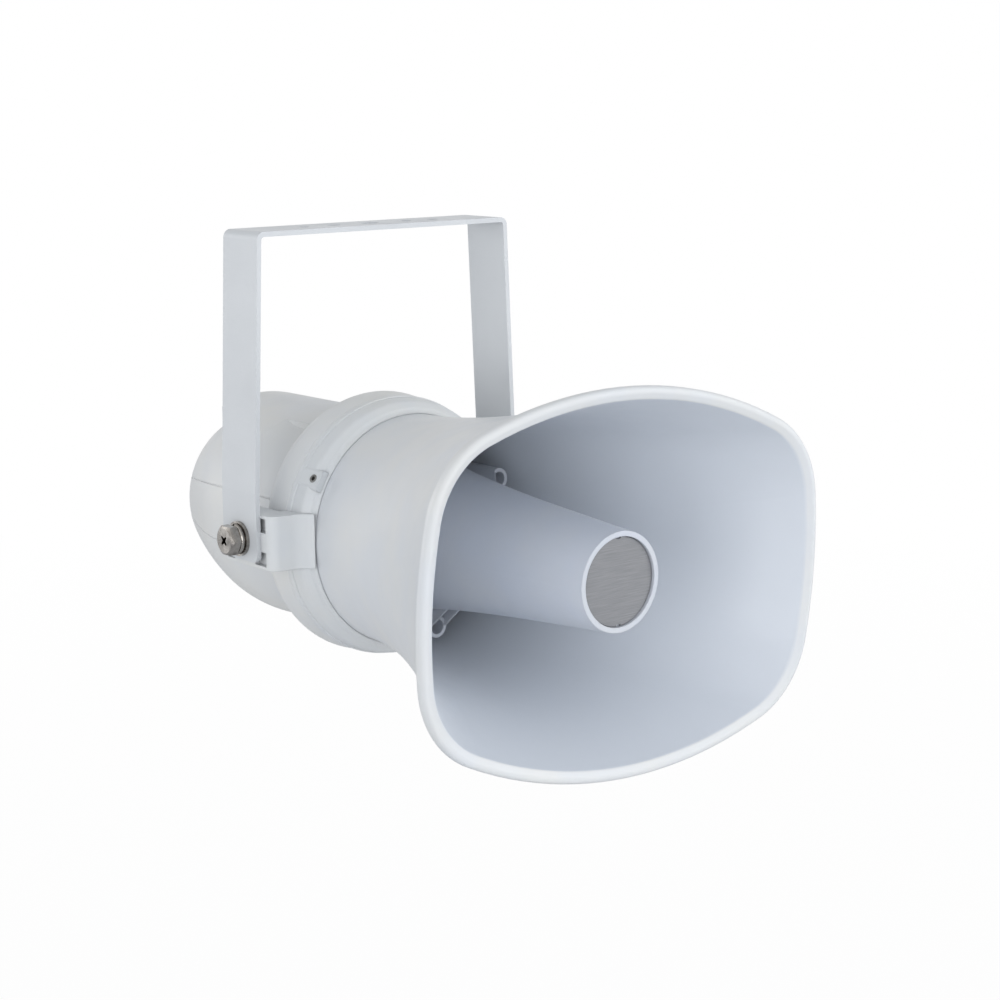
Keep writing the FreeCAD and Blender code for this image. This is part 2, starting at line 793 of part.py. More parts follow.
def draw_mouth(sketch, half_x, half_z, side_arc, top_arc, corner):
    """Eight arcs, each tangent to the next: four bowed sides and four corners."""
    a, b, rs, rt, rc = [as_size(v).value for v in (half_x, half_z, side_arc, top_arc, corner)]
    cx, cz, low, high = bowed_outline(a, b, rs, rt, rc)
    quarter = math.pi / 2
    arcs = []
    for k in range(4):
        across = k % 2
        base = k * quarter
        radius, reach = (rt, b) if across else (rs, a)
        spread = quarter - high if across else low
        centre = Vector(math.cos(base), math.sin(base), 0).multiply(reach - radius)
        circle = Part.Circle(centre, Vector(0, 0, 1), radius)
        arcs.append(Part.ArcOfCircle(circle, base - spread, base + spread))
        sx, sz = ((1, 1), (-1, 1), (-1, -1), (1, -1))[k]
        first, last = (low, high) if sx * sz > 0 else (math.pi - high, math.pi - low)
        shift = 0 if k < 2 else math.pi
        circle = Part.Circle(Vector(sx * cx, sz * cz, 0), Vector(0, 0, 1), rc)
        arcs.append(Part.ArcOfCircle(circle, first + shift, last + shift))
    ids = [sketch.addGeometry(arc, False) for arc in arcs]
    for k in range(8):
        sketch.addConstraint(
            Sketcher.Constraint("Tangent", ids[k], 2, ids[(k + 1) % 8], 1))
    for k in range(4):
        reach, radius = (half_z, top_arc) if k % 2 else (half_x, side_arc)
        sign = 1 if k < 2 else -1
        out = (as_size(reach) - radius) * sign
        tie_point(sketch, ids[2 * k], 3, (0, out) if k % 2 else (out, 0))
        tie(sketch, "Radius", (ids[2 * k],), radius)
        tie(sketch, "Radius", (ids[2 * k + 1],), corner)


def draw_neck(sketch, radius):
    """A circle in eight arcs that meet where the corners of the mouth do."""
    value = as_size(radius).value
    cx, cz, low, high = bowed_outline(
        S.mouth_half_x.value, S.mouth_half_z.value, S.mouth_side_arc.value,
        S.mouth_top_arc.value, S.mouth_corner.value)
    marks = []
    for k in range(4):
        spread = math.pi / 2 - high if k % 2 else low
        marks += [k * math.pi / 2 - spread, k * math.pi / 2 + spread]
    ids = []
    for k in range(8):
        circle = Part.Circle(Vector(0, 0, 0), Vector(0, 0, 1), value)
        end = marks[k + 1] if k < 7 else marks[0] + 2 * math.pi
        ids.append(sketch.addGeometry(Part.ArcOfCircle(circle, marks[k], end), False))
    for k in range(8):
        if k < 7:
            sketch.addConstraint(Sketcher.Constraint("Coincident", ids[k], 3, -1, 1))
        sketch.addConstraint(
            Sketcher.Constraint("Coincident", ids[k], 2, ids[(k + 1) % 8], 1))
        level, upright = math.cos(marks[k]), math.sin(marks[k])
        if abs(level) < abs(upright):
            tie(sketch, "DistanceX", (-1, 1, ids[k], 1), as_size(radius) * level)
        else:
            tie(sketch, "DistanceY", (-1, 1, ids[k], 1), as_size(radius) * upright)
    tie(sketch, "Radius", (ids[0],), radius)
    tie(sketch, "Radius", (ids[7],), radius)


FLARE_STEPS = (0.0, 0.2, 0.4, 0.6, 0.8, 1.0)
FLARE_POWER = 1.6


def flare_sections(body, inset, start, stop):
    """Sections of the bell from the neck to the mouth, drawn inwards by the inset."""
    half_x = S.mouth_half_x - S.lip_over - inset
    half_z = S.mouth_half_z - S.lip_over - inset
    side_arc = S.mouth_side_arc - S.lip_over - inset
    top_arc = S.mouth_top_arc - S.lip_over - inset
    corner = S.mouth_corner - S.lip_over - inset
    neck = S.neck_radius - inset
    sections = []
    for step in FLARE_STEPS:
        place = S.neck_start * (1 - step)
        if step == 0:
            place = start
        elif step == 1:
            place = stop
        sketch = new_sketch(body, "XZ_Plane", -as_size(place))
        share = step ** FLARE_POWER
        if step == 0:
            draw_neck(sketch, neck)
        else:
            draw_mouth(sketch, *[neck + (end - neck) * share
                                 for end in (half_x, half_z, side_arc, top_arc, corner)])
        sections.append(sketch)
    return sections


def loft(body, sections, kind):
    feature = body.newObject("PartDesign::" + kind, body.Label + "_flare")
    feature.Profile = sections[0]
    feature.Sections = sections[1:]
    feature.Ruled = False
    return feature


def make_bell():
    body = set_down(new_body("bell_horn"), S.bell_turn)
    # neck and collar, which the ring grips
    turn(body, [
        (S.neck_radius - S.bell_wall, S.neck_start), (S.neck_radius, S.neck_start),
        (S.neck_radius, neck_end), (S.flange_radius, neck_end),
        (S.flange_radius, bell_back), (S.neck_radius - S.bell_wall, bell_back)])
    loft(body, flare_sections(body, as_size(0), S.neck_start, as_size(1.0)), "AdditiveLoft")
    loft(body, flare_sections(body, S.bell_wall, S.neck_start, as_size(0.0)),
         "SubtractiveLoft")
    lip = new_sketch(body, "XZ_Plane", 0)
    for inset in (as_size(0), S.lip_width):
        draw_mouth(lip, S.mouth_half_x - inset, S.mouth_half_z - inset,
                   S.mouth_side_arc - inset, S.mouth_top_arc - inset,
                   S.mouth_corner - inset)
    rim = pad(body, lip, S.lip_depth, backwards=True)
    doc.recompute()
    reach = S.mouth_corner.value

    def outer_edge(edge):
        box = edge.BoundBox
        flat = box.YLength < 0.01 and (near(box.YMin, 0) or near(box.YMin, S.lip_depth))
        far = max(abs(box.XMin), abs(box.XMax)) > S.mouth_half_x.value * 0.5 or \
            max(abs(box.ZMin), abs(box.ZMax)) > S.mouth_half_z.value * 0.8
        return flat and far and edge.Curve.TypeId == "Part::GeomCircle"

    radii = (S.mouth_side_arc.value, S.mouth_top_arc.value, reach)
    names = ring_edges(rim, lambda e: outer_edge(e) and any(
        abs(e.Curve.Radius - r) < 0.05 for r in radii))
    soften(body, rim, names, S.lip_round)
    # the inner side of the lip falls in two steps into the flare
    steps = ((as_size(0), S.lip_flat), (S.lip_fall_deep, S.lip_fall),
             (S.lip_run_deep, S.lip_run))
    funnel = []
    for depth, inset in steps:
        funnel.append(new_sketch(body, "XZ_Plane", -depth))
        draw_mouth(funnel[-1], S.mouth_half_x - inset, S.mouth_half_z - inset,
                   S.mouth_side_arc - inset, S.mouth_top_arc - inset,
                   S.mouth_corner - inset)
    loft(body, funnel, "SubtractiveLoft").Ruled = True
    return body


# Clamp ring with lugs and pads

def pad_frame(sketch):
    """Lay a sketch on the face of the lowest pad, square to its set screw."""
    sketch.AttachmentOffset = Placement(
        Vector(0, screw_place.value, -pad_face.value),
        Rotation(Vector(1, 0, 0), 180 - S.pad_lean.value))
    sketch.setExpression(".AttachmentOffset.Base.y", screw_place.formula)
    sketch.setExpression(".AttachmentOffset.Base.z", (-pad_face).formula)
    sketch.setExpression(".AttachmentOffset.Rotation.Angle", (180 - S.pad_lean).formula)


def make_ring():
    body = set_down(new_body("clamp_ring"))
    cove = lip_bore + S.cove_flat
    band_back = S.ring_radius - S.bead_proud
    band_front = band_back - S.band_fall
    shoulder = S.ring_front + S.shoulder_place
    turn(body, [
        (lip_bore, S.ring_front), (cove, S.ring_front),
        (cove + S.cove_wide, S.ring_front + S.cove_deep, -S.cove_round),
        (band_front - S.shoulder_fall, shoulder - S.shoulder_long),
        (band_front, shoulder, S.shoulder_round),
        (band_back, bead_front - S.bead_proud), (S.ring_radius, bead_front, S.bead_proud),
        (S.ring_radius, S.ring_back - 0.5), (S.ring_radius - 0.5, S.ring_back),
        (ring_bore, S.ring_back), (ring_bore, neck_end), (lip_bore, neck_end)])
    doc.recompute()
    # lugs: an arm forward of the seam that turns back outside the housing flange
    clear = S.house_crest + S.lug_gap
    tail = S.pivot_back + S.lug_tail
    root_x = S.flange_radius + 1.2
    lug_front = S.ring_front + S.lug_lead
    behind = neck_end - 1.0
    lugs = new_sketch(body, "XY_Plane", S.pivot_rise - S.lug_half)
    for side in (-1, 1):
        draw_outline(lugs, [
            (side * cove, S.ring_front - S.lug_nose),
            (side * (S.ring_radius + S.lug_bend_out), S.ring_front + S.lug_bend,
             -side * S.lug_cove),
            (side * (arm_inside - S.lug_round), lug_front),
            (side * arm_inside, lug_front + S.lug_round, side * S.lug_round),
            (side * arm_inside, tail), (side * clear, tail), (side * clear, S.ring_back),
            (side * root_x, S.ring_back), (side * root_x, behind), (side * cove, behind)])
    pad(body, lugs, S.lug_half * 2)
    # hollows in the outer face, on both sides of the boss
    for side in (-1, 1):
        hollows = new_sketch(body, "YZ_Plane", side * arm_inside)
        for up in (-1, 1):
            for ahead in (-1, 1):
                near_y = S.pivot_back + ahead * S.lug_boss
                far_y = tail - S.lug_wall if ahead > 0 else lug_front + S.lug_round
                low_z = S.pivot_rise + up * S.insert_radius * 0.8
                high_z = S.pivot_rise + up * (S.lug_half - S.lug_wall)
                draw_outline(hollows, [
                    (near_y, low_z), (far_y, low_z), (far_y, high_z), (near_y, high_z)])
        pocket(body, hollows, S.lug_pocket, backwards=side < 0)
        seat = new_sketch(body, "YZ_Plane", side * arm_inside)
        draw_circle(seat, (S.pivot_back, S.pivot_rise), S.insert_radius)
        pocket(body, seat, S.insert_length, backwards=side < 0)
        way = new_sketch(body, "YZ_Plane", side * arm_inside)
        draw_circle(way, (S.pivot_back, S.pivot_rise), S.bolt_radius + S.bolt_play)
        pocket(body, way, arm_inside - clear, backwards=side < 0)
    # pads with a leaning face, each with a threaded hole down to the neck of the bell
    lean = slope(S.pad_lean)
    front_face = pad_face - S.set_screw_in * lean
    deep = front_face + S.ring_lip * lean - ring_bore - 0.1
    end = new_sketch(body, "XZ_Plane")
    end.AttachmentOffset = Placement(
        Vector(0, -front_face.value, -S.ring_front.value),
        Rotation(Vector(-1, 0, 0), S.pad_lean.value))
    end.setExpression(".AttachmentOffset.Base.y", (-front_face).formula)
    end.setExpression(".AttachmentOffset.Base.z", (-S.ring_front).formula)
    end.setExpression(".AttachmentOffset.Rotation.Angle", S.pad_lean.formula)
    draw_outline(end, [
        (-S.pad_half, deep), (-S.pad_half, S.pad_round),
        (S.pad_round - S.pad_half, 0, S.pad_round), (S.pad_half - S.pad_round, 0),
        (S.pad_half, S.pad_round, S.pad_round), (S.pad_half, deep)])
    raised = pad(body, end, bead_front - S.ring_front + 0.5, backwards=True)
    bore = new_sketch(body, "XY_Plane")
    pad_frame(bore)
    draw_circle(bore, (0, 0), S.set_screw_radius + S.thread_play)
    drilled = pocket(body, bore, (pad_face - lip_bore) + 1.6)
    around(body, [raised, drilled], 3)
    holes(body, S.ring_back, S.flange_screw_circle, FLANGE_SCREW_ANGLES,
          S.flange_screw + S.thread_play, S.flange_screw_bite + 0.3, backwards=True)
    return body


def make_set_screws():
    body = set_down(new_body("ring_set_screws"))
    screw = new_sketch(body, "XY_Plane")
    pad_frame(screw)
    draw_circle(screw, (0, 0), S.set_screw_radius)
    length = pad_face - S.neck_radius - 0.5
    first = [pad(body, screw, length, backwards=True)]
    socket = new_sketch(body, "XY_Plane")
    pad_frame(socket)
    draw_outline(socket, hexagon(S.set_screw_radius))
    first.append(pocket(body, socket, length * 0.4))
    doc.recompute()
    around(body, first, 3)
    return body


# Inner cone with its spider, disc and screws

def make_cone():
    body = set_down(new_body("reflector_cone"))
    floor = cone_floor
    inner = cone_inside
    seat = S.disc_radius + S.disc_play
    # the side runs straight first and then flares
    turn(body, [
        (0, floor), (seat, floor), (seat, S.cone_front), (S.cone_radius, S.cone_front),
        (S.cone_knee, S.cone_knee_place), (S.cone_flare, S.cone_flare_place, "smooth"),
        (S.cone_end, S.cone_back, "smooth"), (S.cone_end - S.cone_wall, S.cone_back),
        (S.cone_flare - S.cone_wall, S.cone_flare_place),
        (S.cone_knee - S.cone_wall, S.cone_knee_place),
        (S.cone_radius - S.cone_wall, inner), (0, inner)])
    # boss at the top, with two thin fins that tie it to the cone
    boss = new_sketch(body, "XZ_Plane", -S.boss_front)
    draw_circle(boss, (0, S.boss_circle), S.boss_radius)
    kept = [pad(body, boss, baffle_front - S.boss_front, backwards=True)]
    for side in (-1, 1):
        fin = new_sketch(body, "YZ_Plane", side * (S.boss_radius - S.fin_thick / 2))
        draw_outline(fin, [
            (S.fin_front, S.cone_flare - S.cone_wall * 0.5), (S.boss_front, S.boss_circle),
            (S.cone_back, S.boss_circle), (S.cone_back, S.cone_end - S.cone_wall * 0.8)])
        kept.append(pad(body, fin, S.fin_thick, both_ways=True))
    well = new_sketch(body, "XZ_Plane", -S.boss_front)
    draw_circle(well, (0, S.boss_circle), S.boss_hole)
    kept.append(pocket(body, well, baffle_front - S.boss_floor - S.boss_front))
    way = new_sketch(body, "XZ_Plane", -S.boss_front)
    draw_circle(way, (0, S.boss_circle), S.cone_screw + S.screw_play)
    kept.append(pocket(body, way, baffle_front - S.boss_front))
    around(body, kept, 3)
    # the bosses lie at 90, 210 and 330 degrees and the piece is turned over
    body.setExpression(".Placement.Rotation.Angle", "180")
    body.Placement = Placement(body.Placement.Base, Rotation(Vector(0, 1, 0), 180))
    return body


def screw(label, circle, angles, parts, socket=None):
    """Screws round the horn's axis; parts are (radius, from, to) along the axis."""
    body = set_down(new_body(label))
    for radius, front, back in parts:
        sketch = new_sketch(body, "XZ_Plane", -as_size(front))
        for angle in angles:
            x, z = polar(circle, angle)
            draw_circle(sketch, (x, z), radius)
        pad(body, sketch, as_size(back) - front, backwards=True)
    if socket:
        flats, face, depth = socket
        rear = as_size(depth).value > 0
        sketch = new_sketch(body, "XZ_Plane", -as_size(face))
        for angle in angles:
            x, z = polar(circle, angle)
            draw_outline(sketch, [(x + u, z + v) for u, v in hexagon(flats)])
        pocket(body, sketch, depth if rear else -as_size(depth), backwards=not rear)
    return body


def make_disc():
    body = set_down(new_body("cone_disc"))
    front = S.cone_front + S.disc_recess
    turn(body, [(0, front), (S.disc_radius - 0.3, front), (S.disc_radius, front + 0.3),
                (S.disc_radius, front + S.disc_thick), (0, front + S.disc_thick)])
    # two notches in the rim, by which it can be lifted out
    notches = new_sketch(body, "XZ_Plane", -front)
    for up in (-1, 1):
        deep = up * (S.disc_radius - S.notch_deep)
        beyond = up * (S.disc_radius + 1)
        draw_outline(notches, [(-S.notch_half, deep), (S.notch_half, deep),
                               (S.notch_half, beyond), (-S.notch_half, beyond)])
    pocket(body, notches, S.disc_thick)
    return body


def make_tube():
    """The tube that leads the sound forward into the cone, with its foot on the baffle."""
    body = set_down(new_body("tone_tube"))
    foot = baffle_front - S.tube_foot_thick
    outer = S.tube_bore + S.tube_wall
    turn(body, [
        (S.tube_mouth, S.tube_front), (S.tube_mouth + S.tube_wall, S.tube_front),
        (outer, foot), (S.tube_foot, foot), (S.tube_foot, baffle_front),
        (outer, baffle_front), (outer, baffle_back), (S.tube_bore, baffle_back)])
    return body


def holes(body, plane_place, circle, angles, radius, depth, backwards=False):
    sketch = new_sketch(body, "XZ_Plane", -as_size(plane_place))
    for angle in angles:
        draw_circle(sketch, polar(circle, angle), radius)
    return pocket(body, sketch, depth, backwards=backwards)


def make_baffle():
    body = set_down(new_body("baffle_plate"))
    bore = S.tube_bore + S.tube_wall + S.tube_play
    turn(body, tube_points(bore, S.flange_radius, baffle_front, baffle_back))
    holes(body, baffle_front, S.boss_circle, BOSS_ANGLES, S.cone_screw + S.thread_play,
          S.baffle_thick)
    holes(body, baffle_front, S.spacer_circle, SPACER_ANGLES, S.board_screw + S.screw_play,
          S.baffle_thick)
    holes(body, baffle_back, S.driver_screw_circle, DRIVER_SCREW_ANGLES,
          S.driver_screw + S.thread_play, S.driver_screw_depth, backwards=True)
    return body


def flat_ring(label, inner, outer, front, back):
    body = set_down(new_body(label))
    turn(body, tube_points(as_size(inner), outer, front, back))
    return body


# Driver

film_front = baffle_back + S.frame_thick
top_front = film_front + S.film_rim_thick
magnet_front = top_front + S.plate_thick
yoke_front = magnet_front + S.magnet_thick
driver_back = yoke_front + S.yoke_thick
coil_inner = S.pole_radius + S.coil_gap
coil_outer = coil_inner + S.coil_thick
gap_radius = coil_outer + S.coil_air


def make_driver():
    frame = set_down(new_body("driver_frame"))
    turn(frame, tube_points(S.plug_radius + S.plug_play, S.frame_radius, baffle_back,
                            film_front))
    holes(frame, baffle_back, S.driver_screw_circle, DRIVER_SCREW_ANGLES,
          S.driver_screw + S.screw_play, S.frame_thick)

    plug = set_down(new_body("phase_plug"))
    turn(plug, [(0, baffle_back), (S.plug_radius, baffle_back),
                (S.plug_radius, film_front), (0, film_front)])
    slot = new_sketch(plug, "XZ_Plane", -baffle_back)
    draw_circle(slot, (0, S.plug_slot_circle), S.plug_slot)
    around(plug, [pocket(plug, slot, S.frame_thick)], 8)

    film = set_down(new_body("diaphragm"))
    back = film_front + S.film
    top = S.dome_rise
    bulge = (S.dome_radius * S.dome_radius + top * top) / (top * 2)
    outer = bulge + S.film
    edge = S.dome_radius + S.film
    lift = root(outer * outer - edge * edge) - (bulge - top)
    turn(film, [
        (0, film_front + top), (S.dome_radius, film_front, -bulge),
        (S.film_radius, film_front), (S.film_radius, film_front + S.film_rim_thick),
        (S.film_rim, film_front + S.film_rim_thick), (S.film_rim, back),
        (edge, back), (edge, film_front + lift), (0, film_front + top + S.film, outer)])

    flat_ring("voice_coil", coil_inner, coil_outer, back, back + S.coil_length)
    flat_ring("top_plate", gap_radius, S.plate_radius, top_front, magnet_front)
    flat_ring("ring_magnet", S.magnet_bore, S.magnet_radius, magnet_front, yoke_front)

    yoke = set_down(new_body("pole_yoke"))
    pole = film_front + S.dome_rise + S.film + S.pole_air
    turn(yoke, [(0, pole), (S.pole_radius - 0.5, pole), (S.pole_radius, pole + 0.5),
                (S.pole_radius, yoke_front), (S.yoke_radius, yoke_front),
                (S.yoke_radius, driver_back), (0, driver_back)])

    head = film_front + S.driver_screw_head_thick
    tip = baffle_back - S.driver_screw_depth + 0.2
    screw("driver_screws", S.driver_screw_circle, DRIVER_SCREW_ANGLES,
          [(S.driver_screw, tip, film_front), (S.driver_screw_head, film_front, head)],
          (S.driver_screw * 1.5, head, -1.1))


# Rear housing

def house_side(inset):
    """Side of the housing from its waist to the edge of its rear face."""
    half = (S.house_waist_end + S.house_belly_place) / 2
    between = (S.house_waist + S.house_belly) / 2
    return [(S.house_waist - inset, S.house_waist_place),
            (S.house_waist - inset, S.house_waist_end),
            (between - inset, half, "smooth"),
            (S.house_belly - inset, S.house_belly_place, "smooth"),
            (S.house_haunch - inset, S.house_haunch_place, "smooth"),
            (S.house_tail - inset, S.house_tail_place, "smooth")]


def crown_height(half, wall):
    """Height of the levelling arc, less a wall, at a distance from the middle."""
    return crown_top - S.crown_radius + beside(S.crown_radius - wall, as_size(half))


def hood_sketch(body, place, half, wall):
    sketch = new_sketch(body, "XZ_Plane", -place)
    foot = crown_top - S.hood_deep
    side = crown_height(half, wall)
    draw_outline(sketch, [(-half, foot), (half, foot), (half, side),
                          (-half, side, S.crown_radius - wall)])
    return sketch


def make_housing():
    body = set_down(new_body("rear_housing"))
    hood_back = S.house_end - S.hood_short
    hood = pad(body, hood_sketch(body, S.house_brow_place, S.hood_half, as_size(0)),
               hood_back - S.house_brow_place, backwards=True)
    foot = (crown_top - S.hood_deep).value
    rear = ring_edges(hood, lambda e: e.BoundBox.YLength < 0.01 and near(
        e.BoundBox.YMin, hood_back) and e.BoundBox.ZMax > foot + 1)
    soften(body, hood, rear, S.hood_round)
    turn(body, [
        (S.house_mouth, S.ring_back), (S.house_seam - 0.5, S.ring_back),
        (S.house_seam, S.ring_back + 0.5), (S.house_crest, S.house_crest_place),
        (S.house_brow, S.house_brow_place, "smooth"),
        (S.house_fall, S.house_fall_place, "smooth"),
        (S.house_waist, S.house_waist_place, "smooth")]
        + house_side(as_size(0))[1:] + [
        (S.house_end_radius, S.house_end, "smooth"), (0, S.house_end),
        (0, S.house_fall_place), (S.house_mouth, S.house_fall_place - 4)])
    # the belly is levelled to the arc of the hood
    level = new_sketch(body, "XZ_Plane", -S.house_waist_end)
    side = crown_height(S.crown_reach, as_size(0))
    above = S.house_crest + 5
    draw_outline(level, [
        (-S.crown_reach, above), (-S.crown_reach, side),
        (S.crown_reach, side, -S.crown_radius), (S.crown_reach, above)])
    pocket(body, level, S.house_end - S.house_waist_end)
    # hollow of the shell, and the hollow of the hood over it
    turn(body, [
        (0, S.ring_back - 1), (S.house_mouth, S.ring_back - 1),
        (S.house_mouth, S.house_crest_place),
        (S.house_waist - S.house_wall, S.house_fall_place),
        (S.house_waist - S.house_wall, S.house_waist_end),
        (S.house_belly - S.belly_wall, S.house_belly_place),
        (S.house_haunch - S.house_wall, S.house_haunch_place),
        (S.house_tail - S.house_wall, S.house_end - S.house_wall * 1.8),
        (S.house_end_radius - S.house_wall, S.house_end - S.house_wall),
        (0, S.house_end - S.house_wall)], "Groove")
    front = S.house_fall_place + S.hood_wall
    room = hood_sketch(body, front, S.hood_half - S.hood_wall, S.hood_wall)
    pocket(body, room, hood_back - S.hood_wall - front)
    # engraved lines along both sides
    for angle in (S.line_high, -S.line_low, 180 - S.line_high, 180 + S.line_low):
        line = new_sketch(body, "XY_Plane")
        line.AttachmentOffset = Placement(Vector(0, 0, 0), Rotation(Vector(0, 1, 0), -angle.value))
        line.setExpression(".AttachmentOffset.Rotation.Angle", (-angle).formula)
        beyond = S.house_crest
        draw_outline(line, house_side(S.line_depth) + [
            (beyond, S.house_tail_place), (beyond, S.house_waist_place)])
        cut = body.newObject("PartDesign::Groove", "engraved_line")
        cut.Profile = line
        cut.ReferenceAxis = (line, ["V_Axis"])
        cut.Midplane = True
        bind(cut, "Angle", S.line_angle)
    # hole for the gland, and the screws that draw the housing to the ring
    holes(body, S.house_end - S.house_wall, 0, (0,), S.gland_thread + S.gland_play,
          S.house_wall + 1)
    holes(body, S.ring_back, S.flange_screw_circle, FLANGE_SCREW_ANGLES,
          S.flange_screw + S.screw_play, S.house_end - S.ring_back)
    holes(body, S.flange_screw_seat, S.flange_screw_circle, FLANGE_SCREW_ANGLES,
          S.flange_screw_head + S.screw_play, S.house_end - S.flange_screw_seat)
    return body


# Network amplifier

def board_box(body, centre, wide, high, front, long):
    sketch = new_sketch(body, "XZ_Plane", -as_size(front))
    x, z = centre
    wide, high = as_size(wide) / 2, as_size(high) / 2
    draw_outline(sketch, [(x - wide, z - high), (x + wide, z - high), (x + wide, z + high),
                          (x - wide, z + high)])
    return pad(body, sketch, long, backwards=True)


def board_cut(body, centre, wide, high, front, depth):
    sketch = new_sketch(body, "XZ_Plane", -as_size(front))
    x, z = centre
    wide, high = as_size(wide) / 2, as_size(high) / 2
    draw_outline(sketch, [(x - wide, z - high), (x + wide, z - high), (x + wide, z + high),
                          (x - wide, z + high)])
    return pocket(body, sketch, depth, backwards=True)


def board_cans(label, places, parts):
    """Round components: parts are (radius, from, to) above the board."""
    body = set_down(new_body(label))
    for radius, low, high in parts:
        sketch = new_sketch(body, "XZ_Plane", -(board_back + low))
        for place in places:
            draw_circle(sketch, place, radius)
        pad(body, sketch, as_size(high) - low, backwards=True)
    return body


def make_network():
    board = set_down(new_body("main_board"))
    turn(board, [(0, S.board_place), (S.board_radius, S.board_place),
                 (S.board_radius, board_back), (0, board_back)])
    holes(board, S.board_place, S.spacer_circle, SPACER_ANGLES, S.board_screw + S.screw_play,
          S.board_thick)

    spacers = set_down(new_body("board_spacers"))
    sketch = new_sketch(spacers, "XZ_Plane", -baffle_back)
    for angle in SPACER_ANGLES:
        draw_circle(sketch, polar(S.spacer_circle, angle), S.spacer_radius)
    pad(spacers, sketch, S.board_place - baffle_back, backwards=True)
    deep = S.board_screw_depth + 1
    bore = S.board_screw + S.thread_play
    holes(spacers, baffle_back, S.spacer_circle, SPACER_ANGLES, bore, deep)
    holes(spacers, S.board_place, S.spacer_circle, SPACER_ANGLES, bore, deep, backwards=True)

    head = board_back + S.board_screw_head_thick
    screw("board_screws", S.spacer_circle, SPACER_ANGLES,
          [(S.board_screw, S.board_place - S.board_screw_depth, board_back),
           (S.board_screw_head, board_back, head)], (S.board_screw * 1.5, head, -1.0))
    head = baffle_front - S.board_screw_head_thick
    screw("spacer_screws", S.spacer_circle, SPACER_ANGLES,
          [(S.board_screw_head, head, baffle_front),
           (S.board_screw, baffle_front, baffle_back + S.board_screw_depth)],
          (S.board_screw * 1.5, head, 1.0))

    jack = set_down(new_body("network_jack"))
    place = (-S.jack_left, as_size(0))
    board_box(jack, place, S.jack_wide, S.jack_high, board_back, S.jack_long)
    board_cut(jack, place, S.jack_wide - S.jack_wall * 2, S.jack_high - S.jack_wall * 2,
              board_back + S.jack_long, S.jack_long * 0.6)

    magnetics = set_down(new_body("line_transformer"))
    board_box(magnetics, (-S.magnetics_left, S.magnetics_up), S.magnetics_wide,
              S.magnetics_high, board_back, S.magnetics_long)

    chip = set_down(new_body("processor_chip"))
    middle = (S.chip_right, S.chip_up)
    board_box(chip, middle, S.chip_side, S.chip_side, board_back, S.chip_thick)

    sink = set_down(new_body("heat_sink"))
    base = board_back + S.chip_thick
    board_box(sink, middle, S.sink_side, S.sink_side, base, S.sink_height)
    gap = (S.sink_side - S.sink_fin * 5) / 4
    top = base + S.sink_height
    for k in range(4):
        across = middle[0] - S.sink_side / 2 + S.sink_fin * (k + 1) + gap * (k + 0.5)
        board_cut(sink, (across, middle[1]), gap, S.sink_side + 1, top,
                  S.sink_height - S.sink_base)

    block = set_down(new_body("terminal_block"))
    place = (-S.block_left, -S.block_down)
    board_box(block, place, S.block_wide, S.block_high, board_back, S.block_long)
    for side in (-1, 1):
        board_cut(block, (place[0] + side * S.block_wide / 4, place[1]),
                  S.block_wide * 0.3, S.block_high * 0.45, board_back + S.block_long,
                  S.block_long * 0.5)

    cans = [(S.can_right + S.can_pitch * k, -S.can_down) for k in range(3)]
    board_cans("capacitors", cans, [
        (S.can_radius, 0, 2.0), (S.can_radius - 0.4, 2.0, 2.8),
        (S.can_radius, 2.8, S.can_length)])
    coils = [(S.coil_right + S.coil_pitch * k, S.coil_up) for k in range(2)]
    board_cans("filter_coils", coils, [
        (S.coil_radius, 0, 1.5), (S.coil_waist, 1.5, S.coil_height - 1.5),
        (S.coil_radius, S.coil_height - 1.5, S.coil_height)])


# Cable gland

def make_gland():
    wall = S.house_end - S.house_wall
    collar = S.house_end + S.gland_washer_thick
    neck = collar + S.gland_collar
    end = neck + S.gland_neck
    body = set_down(new_body("gland_body"))
    turn(body, [
        (S.gland_bore, wall - S.gland_nut_thick - 1), (S.gland_thread,
                                                       wall - S.gland_nut_thick - 1),
        (S.gland_thread, collar), (S.gland_thread + 1, collar), (S.gland_thread + 1, neck),
        (S.gland_thread, neck), (S.gland_thread, end), (S.gland_seat, end),
        (S.gland_seat, neck + 0.5), (S.gland_bore, neck + 0.5)])
    hexes = new_sketch(body, "XZ_Plane", -collar)
    draw_outline(hexes, hexagon(S.gland_flats))
    draw_circle(hexes, (0, 0), S.gland_thread + 0.5)
    pad(body, hexes, S.gland_collar, backwards=True)

    nut = set_down(new_body("gland_nut"))
    sketch = new_sketch(nut, "XZ_Plane", -(wall - S.gland_nut_thick))
    draw_outline(sketch, hexagon(S.gland_flats))
    draw_circle(sketch, (0, 0), S.gland_thread + S.thread_play)
    pad(nut, sketch, S.gland_nut_thick, backwards=True)

    flat_ring("gland_washer", S.gland_thread + S.thread_play, S.gland_cap_radius,
              S.house_end, collar)
    seal = neck + 0.5
    flat_ring("gland_seal", S.gland_bore - 1.2, S.gland_seat - 0.1, seal,
              seal + S.gland_seal_long)

    cap = set_down(new_body("gland_cap"))
    back = neck + S.gland_cap_long
    inner = S.gland_thread + S.thread_play
    low = end + 0.4
    turn(cap, [
        (inner, neck + 0.2), (S.gland_cap_radius, neck + 0.2), (S.gland_cap_radius, back - 3),
        (S.gland_cap_radius - 3, back, 3.0), (S.gland_bore, back), (S.gland_bore, low),
        (inner, low)])
    notch = new_sketch(cap, "XZ_Plane", -(neck + 0.2))
    draw_circle(notch, (0, S.gland_cap_radius + 0.5), 1.0)
    around(cap, [pocket(cap, notch, S.gland_cap_long - 4)], 10)


